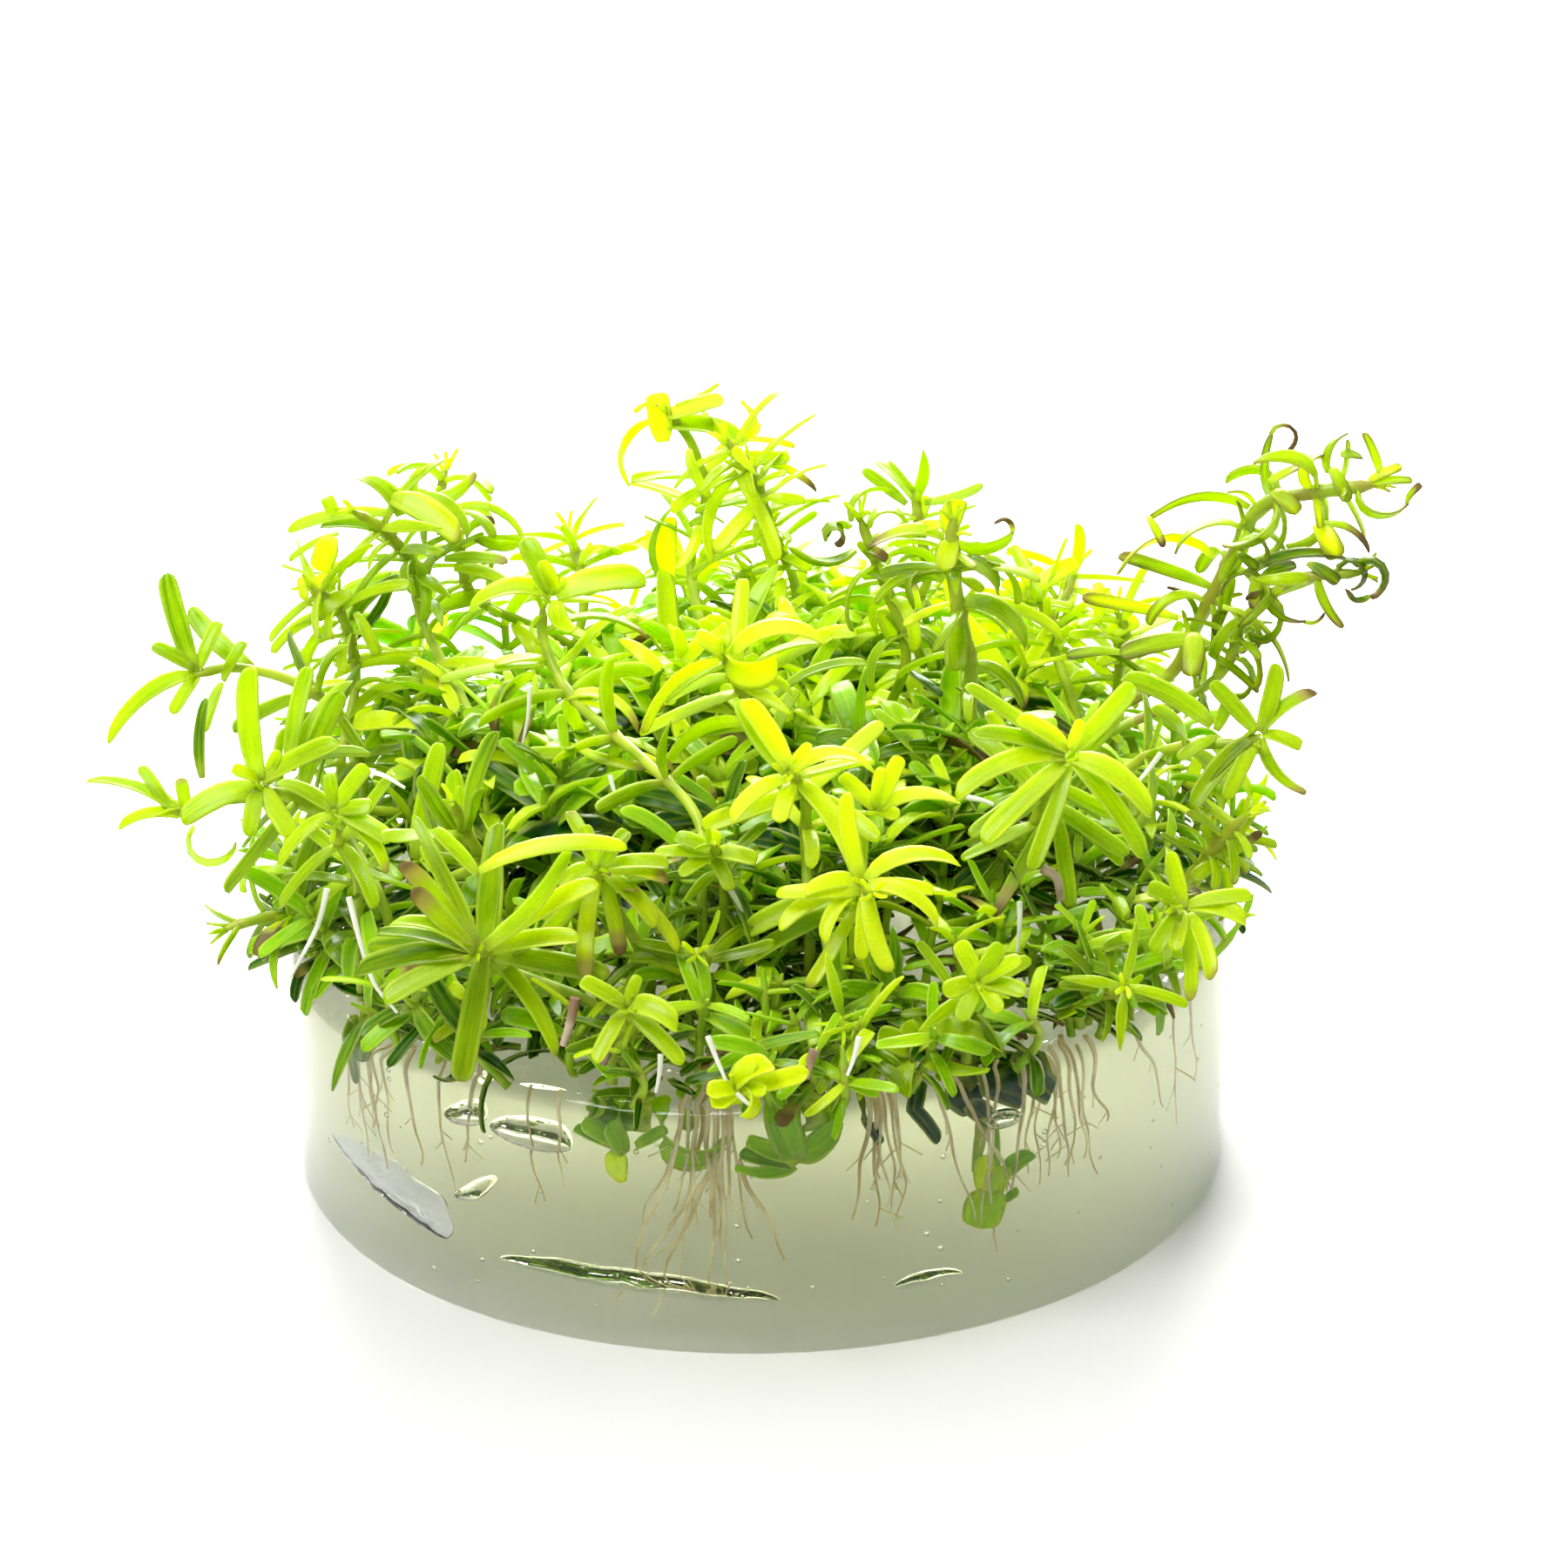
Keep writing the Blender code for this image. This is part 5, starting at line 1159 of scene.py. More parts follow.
def smoothPath(points, steps):
    knots = [Vector(point) for point in points]
    knots = [2 * knots[0] - knots[1], *knots, 2 * knots[-1] - knots[-2]]
    path = []
    for i in range(1, len(knots) - 2):
        a, b, c, d = knots[i - 1:i + 3]
        for k in range(steps):
            t = k / steps
            path.append(0.5 * (2 * b + (c - a) * t + (2 * a - 5 * b + 4 * c - d) * t * t
                               + (3 * b - a - 3 * c + d) * t ** 3))
    path.append(knots[-2])
    return path


class Stem:
    # a smooth line with a frame that follows it without twisting

    def __init__(self, points):
        self.points = smoothPath(points, shootForm["pathSteps"])
        self.lengths = [0.0]
        for a, b in zip(self.points, self.points[1:]):
            self.lengths.append(self.lengths[-1] + (b - a).length)
        self.length = self.lengths[-1]
        self.sides = []
        side = Vector((1, 0, 0))
        for i in range(len(self.points)):
            ahead = self.direction(i)
            side = (side - side.dot(ahead) * ahead).normalized()
            self.sides.append(side)

    def direction(self, i):
        a = self.points[max(i - 1, 0)]
        b = self.points[min(i + 1, len(self.points) - 1)]
        return (b - a).normalized()

    def frame(self, along):
        along = min(max(along, 0.0), self.length)
        i = 0
        while i < len(self.points) - 2 and self.lengths[i + 1] < along:
            i += 1
        t = (along - self.lengths[i]) / (self.lengths[i + 1] - self.lengths[i])
        point = self.points[i].lerp(self.points[i + 1], t)
        ahead = self.direction(i).lerp(self.direction(i + 1), t).normalized()
        side = self.sides[i].lerp(self.sides[i + 1], t)
        side = (side - side.dot(ahead) * ahead).normalized()
        return point, ahead, side, ahead.cross(side)


class SolidLeaf:
    # the leaf of the solid part: a strap of a few sections

    steps = ((0.5, 1.0), (1.0, 0.55))

    def __init__(self, point, ahead, outward, half, length, spread, curl, turn):
        outward = Matrix.Rotation(math.radians(turn), 3, ahead) @ outward
        lean = math.radians(spread)
        self.base = point + outward * half
        self.along = outward * math.sin(lean) + ahead * math.cos(lean)
        self.up = ahead * math.sin(lean) - outward * math.cos(lean)
        self.across = self.along.cross(self.up)
        self.length = length
        self.curl = math.radians(curl) or 0.001
        self.width = min(length * shootForm["leafWidthRatio"], shootForm["leafWidthMost"])

    def section(self, part, width, thick, extra):
        bend = self.curl * part
        reach = self.length / self.curl
        middle = (self.base + self.along * reach * math.sin(bend)
                  - self.up * reach * (1 - math.cos(bend)))
        over = self.up * math.cos(bend) + self.along * math.sin(bend)
        wide = self.across * (width / 2 + extra)
        high = over * (thick / 2 + extra)
        return [middle - wide - high, middle + wide - high, middle + wide + high,
                middle - wide + high]

    def skin(self, extra=0.0, outerOnly=False):
        thick = shootForm["leafThick"]
        rings = [self.section(0.35 if outerOnly else 0.12, self.width * 0.8, thick, extra)]
        for part, wide in self.steps:
            beyond = extra / self.length if part == 1.0 else 0.0
            rings.append(self.section(part + beyond, self.width * wide, thick, extra))
        corners = [corner for ring in rings for corner in ring]
        return corners, tubeFaces(len(rings))


def tubeFaces(rings):
    faces = [(0, 1, 2, 3), tuple(4 * rings - 4 + k for k in range(4))]
    for ring in range(rings - 1):
        for k in range(4):
            a, b = 4 * ring + k, 4 * ring + (k + 1) % 4
            faces.append((a, b, b + 4, a + 4))
    return faces


def treeOf(skins):
    corners, faces = [], []
    for ownCorners, ownFaces in skins:
        shift = len(corners)
        corners += ownCorners
        faces += [tuple(k + shift for k in face) for face in ownFaces]
    return BVHTree.FromPolygons(corners, faces) if faces else None


class Shoot:
    # a shoot's stem, the heights of its leaf pairs, and the leaves that its solid has

    def __init__(self, path, whorls, leaf, spread, curl, turn, crown, bare=0.0, radius=None,
                 **looks):
        self.stem = Stem(path)
        self.radius = radius or shootForm["stemRadius"]
        self.half = self.radius * math.sqrt(0.5)
        self.turn = turn
        self.bare = bare
        self.looks = looks
        crownAt = self.stem.length - shootForm["budLength"]
        first = bare + shootForm["bareStem"] * (crownAt - bare)
        gap = (crownAt - first) / max(whorls, 1)
        self.joints = []
        for k in range(whorls):
            sides = (0, 2) if (whorls - k) % 2 else (1, 3)
            grown = leaf * (1.0 - shootForm["youngerGain"] * (whorls - 1 - k))
            self.joints.append((first + gap * k, sides, grown, spread, curl))
        count, length, crownSpread, crownCurl = crown
        sides = (0, 1, 2, 3) if count == 4 else (1, 3)
        self.joints.append((crownAt, sides, length, crownSpread, crownCurl))
        self.leaves = {}

    def ring(self, along, radius):
        point, _, side, other = self.stem.frame(along)
        corners = []
        for k in range(4):
            angle = math.radians(self.turn + 90 * k - 45)
            corners.append(point + radius * (side * math.cos(angle) + other * math.sin(angle)))
        return corners

    def stations(self):
        marks = [(0.0, 1.05)]
        last = 0.0
        for at, *_ in self.joints:
            if at - last > shootForm["stemSpan"]:
                marks.append(((at + last) / 2, 1.0))
            marks.append((at - shootForm["jointHalf"], 1.0))
            marks.append((at + shootForm["jointHalf"], 1.0))
            last = at
        marks.append((self.stem.length, 0.45))
        return marks

    def stemSkin(self):
        rings = [self.ring(at, self.radius * scale) for at, scale in self.stations()]
        return [corner for ring in rings for corner in ring], tubeFaces(len(rings))

    def growLeaves(self, obstacles):
        for at, sides, length, spread, curl in self.joints:
            point, ahead, side, other = self.stem.frame(at)
            for k in sides:
                outward = self.outward(side, other, k)
                own = treeOf([leaf.skin(0.0, True) for leaf in self.leaves.values()])
                for turn, lean, scale in leafTries:
                    leaf = SolidLeaf(point, ahead, outward, self.half, length * scale,
                                     spread + lean, curl, turn)
                    whole = treeOf([leaf.skin(shootForm["gap"])])
                    if any(whole.overlap(tree) for tree in obstacles):
                        continue
                    if own and treeOf([leaf.skin(0.05, True)]).overlap(own):
                        continue
                    self.leaves[(at, k)] = leaf
                    break

    def outward(self, side, other, k):
        angle = math.radians(self.turn + 90 * k)
        return side * math.cos(angle) + other * math.sin(angle)


def gelTop(x):
    return gelBlock["top"] + gelBlock["slope"] * x


def lanePoint(x, y):
    spot = Vector((x, y))
    near = sorted((Vector(tuft["middle"]) for tuft in tufts.values()),
                  key=lambda middle: (middle - spot).length)[:2]
    across = (near[1] - near[0]).normalized()
    spot -= across * (spot - (near[0] + near[1]) / 2).dot(across)
    most = gelBlock["radius"] - shootForm["insideRim"]
    if spot.length > most:
        spot *= most / spot.length
    return spot


def rootedShoot(plan):
    path = plan["path"]
    spot = Vector(plan["root"]) if "root" in plan else lanePoint(path[0][0], path[0][1])
    ground = gelTop(spot.x) + shootForm["gap"]
    rise = ground + shootForm["lowerRise"] * max(path[0][2] - ground, 1.0)
    lower = [(spot.x, spot.y, ground), (spot.x, spot.y, rise)]
    settings = {key: value for key, value in plan.items() if key not in ("path", "root")}
    bare = Stem([*lower, *path[:1]]).length
    return Shoot([*lower, *path], bare=bare, **settings)


def gelSkin():
    corners, faces = [], []
    sides = gelBlock["solidSides"]
    for part, radius in ((0.0, gelBlock["radius"]), (1.0, gelBlock["radius"]), (1.0, 1.0)):
        for k in range(sides):
            angle = 2 * math.pi * k / sides
            x, y = radius * math.cos(angle), radius * math.sin(angle)
            corners.append(Vector((x, y, part * gelTop(x))))
    for ring in range(2):
        for k in range(sides):
            a, b = sides * ring + k, sides * ring + (k + 1) % sides
            faces.append((a, b, b + sides, a + sides))
    return corners, faces


def bentCurl(curl):
    return curl if abs(curl) >= leafForm["curlLeast"] else leafForm["curlLeast"]


def leafSeed(foot, ahead, up, length, curl, width=None, **looks):
    most, slim = shootForm["leafWidthMost"], shootForm["slimness"]
    return {"isLeaf": 1.0, "foot": foot, "ahead": ahead, "up": up, "length": length,
            "width": width or min(length * shootForm["leafWidthRatio"], most) * slim,
            "curl": bentCurl(math.radians(curl)), "sway": rng.gauss(0, leafForm["swaySpread"]),
            "twist": rng.gauss(0, leafForm["twistSpread"]),
            "cup": rng.uniform(*leafForm["cupRange"]), "pointed": rng.choice(leafForm["tips"]),
            **looks}


def sprout(stem, at, angle, half, length, spread, curl, **looks):
    point, ahead, side, other = stem.frame(at)
    outward = side * math.cos(angle) + other * math.sin(angle)
    lean = math.radians(spread)
    return leafSeed(point + outward * half, outward * math.sin(lean) + ahead * math.cos(lean),
                    ahead * math.sin(lean) - outward * math.cos(lean), length, curl, **looks)


def stemLine(stem, joints, radius, tip=0.35, **looks):
    line = []
    count = max(int(stem.length / shootForm["sampleStep"]), 4)
    for k in range(count + 1):
        at = stem.length * k / count
        near = max([math.exp(-((at - joint) / shootForm["jointLength"]) ** 2)
                    for joint in joints] or [0.0])
        slim = min(1.0, tip + (stem.length - at) / shootForm["tipTaper"])
        line.append({"place": stem.frame(at)[0], "joint": near,
                     "radius": radius * slim * (1.0 + shootForm["jointSwell"] * near), **looks})
    return line


def hasRoom(leaf):
    # false for a leaf that would dip into the gel or reach past the stand's own spread
    tip = leaf["foot"] + (leaf["ahead"] * math.cos(leaf["curl"] / 2)
                          - leaf["up"] * math.sin(leaf["curl"] / 2)) * leaf["length"]
    out = tip.xy.length
    if out > undergrowth["reachMost"]:
        return False
    clear = tip.z > gelTop(tip.x) + undergrowth["aboveGel"]
    return clear or out > gelBlock["radius"] + undergrowth["besideGel"]


# where a placed leaf may start from the one before, from which bend it shows its edge, and how far
# it may lift and shift to follow its middle, as shares of its length
fanForm = {
    "joinWithin": 0.35,
    "bentFrom": 0.10,
    "bentSpan": 0.22,
    "bentFace": 0.45,
    "bentEdge": 0.3,
    "flatTo": 72,
    "lift": 0.06,
    "shiftMost": 0.10,
    "highLeast": 0.3,
    "sideLeast": 0.6,
    "width": 1.12,
    "twistSpread": 0.2,
    "tips": (0, 0, 0.15),
}
# directions as they are seen from the front
sight = {"right": Vector((1, 0, 0)), "up": Vector((0, 0.368, 0.930)),
         "front": Vector((0, -0.930, 0.368))}


def fanLeaf(stem, numbers, last, **looks):
    # a leaf between a foot and a tip, bent through its middle
    tenths = [0.1 * number for number in numbers[:8]]
    top = stem.frame(stem.length)[0]

    def flat(point):
        return Vector((point.dot(sight["right"]), point.dot(sight["up"])))

    def placed(right, up, front):
        return top + sight["right"] * right + sight["up"] * up + sight["front"] * front

    near = min(stem.points, key=lambda point: (flat(point - top) - Vector(tenths[:2])).length)
    depth = (near - top).dot(sight["front"])
    foot = placed(*tenths[:2], depth)
    if last and flat(foot - last["tip"]).length < fanForm["joinWithin"]:
        foot = last["tip"]
        depth = (foot - top).dot(sight["front"])
    tip = placed(*tenths[2:4], depth + tenths[4])
    chord = tip - foot
    along = chord.normalized()
    aside = Vector((-flat(along).y, flat(along).x)).normalized()
    bow = 0.0
    if len(numbers) > 9:
        bow = (0.1 * Vector(numbers[9:]) - flat((foot + tip) / 2 - top)).dot(aside)
    # the more a leaf bends in view, the more it shows its edge
    bent = abs(bow) / chord.length - fanForm["bentFrom"]
    bent = min(1.0, max(0.0, bent) / fanForm["bentSpan"])
    face = math.radians(numbers[8] * (1 - fanForm["bentFace"] * bent))
    upright = sight["right"] * aside.x + sight["up"] * aside.y
    if upright.z < -0.2 or numbers[8] > fanForm["flatTo"]:
        upright = -upright if upright.z < 0 else upright
    normal = sight["up"] * math.cos(face) + sight["front"] * math.sin(face)
    if bent > fanForm["bentEdge"]:
        normal = (upright if bow * upright.dot(sight["up"]) > 0 else -upright) * math.cos(face)
        normal += sight["front"] * math.sin(face)
    normal = (normal - along * normal.dot(along)).normalized()
    side = normal.cross(along)
    lift, shift = fanForm["lift"] * chord.length, 0.0
    if bow:
        high, wide = flat(normal).dot(aside), flat(side).dot(aside)
        shift = bow * wide / max(high ** 2 + wide ** 2, 0.1)
        most = fanForm["shiftMost"] * chord.length
        shift = max(-most, min(most, shift))
        high = math.copysign(max(abs(high), fanForm["highLeast"]), high)
        lift = (bow - shift * wide) / high
    lean = math.asin(4 * shift / chord.length)
    length = chord.length * math.cos(lean)
    along, side = (along * math.cos(lean) + side * math.sin(lean),
                   side * math.cos(lean) - along * math.sin(lean))
    curl = bentCurl(4 * math.atan(2 * lift / length))
    ahead = along * math.cos(curl / 2) + normal * math.sin(curl / 2)
    up = normal * math.cos(curl / 2) - along * math.sin(curl / 2)
    length *= (curl / 2) / math.sin(curl / 2)
    width = fanForm["width"] * tenths[5] / max(flat(side).length, fanForm["sideLeast"])
    leaf = leafSeed(foot, ahead, up, length, math.degrees(curl), width, **looks)
    leaf.update(sway=-4 * shift / length, twist=rng.gauss(0, fanForm["twistSpread"]), tip=tip,
                pointed=rng.choice(fanForm["tips"]))
    return leaf


def dressShoot(shoot, fan):
    # the shoot's own leaves, then younger ones beside, between and at the tip
    looks = shoot.looks
    leaves, joints = [], [joint[0] for joint in shoot.joints]
    half = shoot.half * shootExtras["footInset"]
    crownAt = joints[-1]
    frill = looks.get("frill", 1.0)

    def tint(at, gain=0.0):
        share = at / shoot.stem.length
        # painted shade: the green darkens towards the foot of the shoot
        footShade = shootExtras["shadeAtFoot"] * (1 - share)
        spread = rng.gauss(0, shootExtras["toneSpread"])
        return {"tone": looks["tone"] - footShade + gain + spread,
                "age": max(0.0, looks["age"] * rng.uniform(*shootExtras["ageRange"])),
                "wine": looks["wine"] * rng.uniform(*shootExtras["wineRange"])}

    for numbers in fan:
        leaves.append(fanLeaf(shoot.stem, numbers, leaves[-1] if leaves else None,
                              tone=looks["tone"] + 0.1 * numbers[7] + rng.gauss(0, 0.03),
                              age=0.1 * numbers[6], wine=looks["wine"]))
    few = shootExtras["besideFan"] if fan and not looks.get("dense") else 1.0
    for (at, k), leaf in shoot.leaves.items():
        if few < 1.0 and at == crownAt:
            continue
        more = shootExtras["footOverlap"]
        curl = math.degrees(leaf.curl) * frill + rng.gauss(0, shootExtras["spreadNoise"])
        leaves.append(leafSeed(leaf.base - leaf.along * more, leaf.along, leaf.up,
                               leaf.length + more, curl, leaf.width * shootForm["slimness"],
                               **tint(at)))
    for at, sides, length, spread, curl in shoot.joints[:-1]:
        for k in range(4):
            if k in sides or rng.random() > shootExtras["sideLeaf"] * few:
                continue
            angle = math.radians(shoot.turn + 90 * k + rng.uniform(-15, 15))
            size = length * rng.uniform(*shootExtras["sideLength"])
            leaves.append(sprout(shoot.stem, at, angle, half, size,
                                 spread + rng.gauss(0, shootExtras["spreadNoise"]),
                                 curl * frill + rng.gauss(0, shootExtras["curlNoise"]),
                                 **tint(at, -0.05)))
        for k in range(4):
            if rng.random() < shootExtras["axil"] * few:
                angle = math.radians(shoot.turn + 90 * k + 30)
                size = rng.uniform(*shootExtras["axilLength"])
                leaves.append(sprout(shoot.stem, at + 0.4, angle, half, size,
                                     rng.uniform(*shootExtras["axilSpread"]),
                                     rng.uniform(*shootExtras["axilCurl"]),
                                     **tint(at, 0.12)))
    for low, high in zip(joints, joints[1:]):
        if rng.random() < shootExtras["betweenPair"] * few:
            at = (low + high) / 2
            joints = [*joints, at]
            start = shoot.turn + rng.choice((0, 45, 90))
            for k in range(rng.choice((2, 3))):
                size = shoot.joints[0][2] * rng.uniform(*shootExtras["betweenLength"])
                leaves.append(sprout(shoot.stem, at, math.radians(start + 120 * k), half, size,
                                     rng.uniform(60, 85), rng.uniform(10, 45), **tint(at)))
    # painted shade: leaves low on the stem, under the foliage, are a step darker
    for k in range(shootExtras["lowerPairs"]):
        at = shoot.bare * (0.55 + 0.4 * k)
        for side in range(3):
            size = rng.uniform(*shootExtras["lowerLength"])
            leaf = sprout(shoot.stem, at, math.radians(120 * side + 60 * k), half, size,
                          rng.uniform(65, 95), rng.uniform(15, 50), **tint(at, -0.1))
            if hasRoom(leaf):
                leaves.append(leaf)
    for k in range(shootExtras["budLeaves"]):
        at = crownAt + shootForm["budLength"] * (0.35 + 0.15 * k)
        angle = math.radians(shoot.turn + 45 + 90 * k)
        size = rng.uniform(*shootExtras["budLength"])
        leaves.append(sprout(shoot.stem, at, angle, 0.1, size, rng.uniform(15, 45),
                             rng.uniform(-15, 15), **tint(at, 0.15)))
    line = stemLine(shoot.stem, joints, shoot.radius * shootForm["roundness"],
                    wine=looks["wine"], tone=looks["tone"])
    return leaves, [line]


def snake(key):
    return "".join("_" + letter.lower() if letter.isupper() else letter for letter in key)


def growShoots():
    plans = {key: rootedShoot(plan) for key, plan in shoots.items()}
    gel = treeOf([gelSkin()])
    for key, shoot in plans.items():
        others = [other.stemSkin() for name, other in plans.items() if name != key]
        others += [leaf.skin() for name, other in plans.items() if name != key
                   for leaf in other.leaves.values()]
        shoot.growLeaves([treeOf(others), gel])
    for key, shoot in plans.items():
        leaves, lines = dressShoot(shoot, fans.get(key, ()))
        piece = growPiece(snake(key) + "_shoot", leaves, lines, "freshLeaf", "greenStem")
        finishPiece(piece, "shoots", "shoot_" + snake(key))
    print("shoots grown:", len(plans))


# Undergrowth: each tuft is many small shoots, in the place of its solid

undergrowth = {
    "lane": 2.4,
    "reach": 43.5,
    "reachMost": 45.0,
    "overlap": 1.06,                # shoots stand a little over the edge of their tuft's cell
    "spacing": 2.3,                 # height between whorls
    "stemRadius": 0.34,
    "leanMost": 34,                 # degrees, at the rim
    "leafWidth": (0.21, 0.30),      # against the leaf's length
    "deadLeaf": 0.02,
    "litter": 60,                   # old leaves that lie on the gel
    "litterLength": (3.0, 6.0),
    "litterHeight": (0.4, 2.6),
    "aboveGel": 0.3,
    "besideGel": 0.8,
    "insideRim": 1.2,
    "sunk": 0.8,                    # how deep a small shoot stands in the gel
    "rimFrom": 0.72,                # share of the gel's radius where shoots begin to lean
    "lowerAtRim": 0.28,
    "lowerAtEdge": 0.12,
    "heights": (0.66, 1.04),
    "bow": 0.9,
    "sag": 0.18,
    "firstWhorl": 1.8,
    "rings": 6,
    "sides": 8,
}
# middle and height, tone, length of the leaves, how far they arch, how many shoots
# the tufts' tones partly paint the light: brightest at the back, where light shines through from
# behind, darkest in the middle under the shoots
tufts = {
    "centreFront": dict(middle=(2.0, -13.0), height=16.0, tone=0.18, leaf=8.0, arch=75, shoots=17),
    "centreLeft": dict(middle=(-15.0, 2.0), height=18.5, tone=0.28, leaf=9.2, arch=85, shoots=18),
    "centreRight": dict(middle=(16.0, 1.0), height=18.5, tone=0.30, leaf=9.0, arch=85, shoots=18),
    "centreBack": dict(middle=(1.0, 15.0), height=20.0, tone=0.52, leaf=9.8, arch=85, shoots=18),
    "front": dict(middle=(3.0, -33.0), height=9.5, tone=0.36, leaf=5.4, arch=50, shoots=20),
    "frontLeft": dict(middle=(-21.0, -25.0), height=10.0, tone=0.38, leaf=6.4, arch=55, shoots=17),
    "left": dict(middle=(-33.0, -6.0), height=12.0, tone=0.40, leaf=7.0, arch=60, shoots=17),
    "backLeft": dict(middle=(-25.0, 21.0), height=19.5, tone=0.52, leaf=9.0, arch=75, shoots=19),
    "back": dict(middle=(-3.0, 34.0), height=20.5, tone=0.62, leaf=9.6, arch=80, shoots=18),
    "backRight": dict(middle=(21.0, 25.0), height=19.5, tone=0.60, leaf=9.0, arch=75, shoots=19),
    "right": dict(middle=(34.0, 3.0), height=13.0, tone=0.48, leaf=6.6, arch=60, shoots=18),
    "frontRight": dict(middle=(24.0, -23.0), height=11.0, tone=0.42, leaf=5.6, arch=50, shoots=19),
}


def tuftReach(middle, direction):
    most = undergrowth["reach"]
    reach = most
    for other in tufts.values():
        towards = Vector(other["middle"]) - middle
        if towards.length > 1e-6 and towards.dot(direction) > 1e-6:
            half = (towards.length - undergrowth["lane"]) / 2
            reach = min(reach, half * towards.length / towards.dot(direction))
    along = middle.dot(direction)
    rim = -along + math.sqrt(along ** 2 - middle.length_squared + (most - 4.0) ** 2)
    return min(reach, rim)


def smallShoot(foot, height, lean, tuft):
    tip = Vector((foot.x + lean.x * height, foot.y + lean.y * height, foot.z + height))
    bow = Vector((rng.gauss(0, undergrowth["bow"]), rng.gauss(0, undergrowth["bow"]), 0))
    sag = Vector((lean.x, lean.y, 0)) * height * undergrowth["sag"]
    middle = foot.lerp(tip, 0.5) - sag + bow
    stem = Stem([foot, middle, tip])
    joints, leaves = [], []
    at = undergrowth["firstWhorl"]
    turn = rng.uniform(0, 360)
    own = rng.gauss(0, 0.14)
    while at < stem.length - 0.2:
        share = at / stem.length
        size = tuft["leaf"] * (0.62 + 0.48 * share) * min(1.0, 0.42 + 3.2 * (1 - share))
        spread = 88 - 52 * share ** 3
        count = rng.choice((2, 2, 3, 3))
        for k in range(count):
            angle = math.radians(turn + 360 * k / count + rng.uniform(-20, 20))
            length = size * rng.uniform(0.72, 1.15)
            dead = rng.random() < undergrowth["deadLeaf"] * (2.0 - share)
            # painted shade: the tone runs from deep at the foot of the tuft to bright at its top
            leaf = sprout(stem, at, angle, 0.15, length, spread + rng.gauss(0, 12),
                          rng.uniform(0, tuft["arch"]),
                          width=length * rng.uniform(*undergrowth["leafWidth"]),
                          tone=tuft["tone"] - 0.56 + 0.94 * share + own + rng.gauss(0, 0.14),
                          age=rng.uniform(1.2, 2.2) if dead else max(0.0, rng.gauss(-0.1, 0.3)),
                          wine=0.0)
            if hasRoom(leaf):
                leaves.append(leaf)
        joints.append(at)
        at += undergrowth["spacing"] * rng.uniform(0.75, 1.25) * (1.15 - 0.4 * share)
        turn += 180 / count + rng.uniform(-15, 15)
    return leaves, stemLine(stem, joints, undergrowth["stemRadius"], tone=tuft["tone"])


def litterLeaf(spot):
    angle = rng.uniform(0, 2 * math.pi)
    ahead = Vector((math.cos(angle), math.sin(angle), rng.uniform(-0.05, 0.35))).normalized()
    up = Vector((0, 0, 1)) - ahead * ahead.z
    length = rng.uniform(*undergrowth["litterLength"])
    foot = Vector((spot.x, spot.y, gelTop(spot.x) + rng.uniform(*undergrowth["litterHeight"])))
    return leafSeed(foot, ahead, up.normalized(), length, rng.uniform(-30, 50),
                    width=length * rng.uniform(*undergrowth["leafWidth"]),
                    tone=rng.uniform(-0.35, 0.15), age=rng.choice((0.1, 0.4, 1.0, 2.0)))


def growTuft(key, tuft):
    middle = Vector(tuft["middle"])
    leaves, lines = [], []
    start = rng.uniform(0, 6)
    for k in range(tuft["shoots"]):
        angle = start + k * goldenAngle
        direction = Vector((math.cos(angle), math.sin(angle)))
        share = math.sqrt((k + 0.4) / tuft["shoots"])
        reach = tuftReach(middle, direction) * undergrowth["overlap"]
        spot = middle + direction * reach * share
        spot += Vector((rng.gauss(0, 0.5), rng.gauss(0, 0.5)))
        most = gelBlock["radius"] - undergrowth["insideRim"]
        if spot.length > most:
            spot *= most / spot.length
        rim = max(0.0, spot.length / gelBlock["radius"] - undergrowth["rimFrom"])
        rim /= 1 - undergrowth["rimFrom"]
        height = tuft["height"] * (1 - undergrowth["lowerAtEdge"] * share ** 2)
        height *= 1 - undergrowth["lowerAtRim"] * rim ** 2
        height *= rng.uniform(*undergrowth["heights"])
        tilt = math.tan(math.radians(undergrowth["leanMost"] * rim * rng.uniform(0.4, 1.1)))
        lean = spot.normalized() * tilt + Vector((rng.gauss(0, 0.14), rng.gauss(0, 0.14)))
        top = spot + lean * height
        if top.length > undergrowth["reach"]:
            lean = (top * (undergrowth["reach"] / top.length) - spot) / height
        foot = Vector((spot.x, spot.y, gelTop(spot.x) - undergrowth["sunk"]))
        own, line = smallShoot(foot, height, lean, tuft)
        leaves += own
        lines.append(line)
    for k in range(undergrowth["litter"]):
        angle = k * goldenAngle
        direction = Vector((math.cos(angle), math.sin(angle)))
        share = math.sqrt((k + 0.5) / undergrowth["litter"])
        spot = middle + direction * tuftReach(middle, direction) * 1.1 * share
        if spot.length < gelBlock["radius"] - 3.0:
            leaves.append(litterLeaf(spot))
    piece = growPiece(snake(key) + "_undergrowth", leaves, lines, "shadeLeaf", "shadeStem",
                      **{"Leaf Sides": undergrowth["sides"], "Leaf Rings": undergrowth["rings"],
                         "Stem Sides": 6})
    finishPiece(piece, "undergrowth", "tuft_" + snake(key))
    return len(leaves)


def growUndergrowth():
    count = sum(growTuft(key, tuft) for key, tuft in tufts.items())
    print("undergrowth leaves:", count)


# Sprigs and roots inside the gel, and rootlets that hang in the air

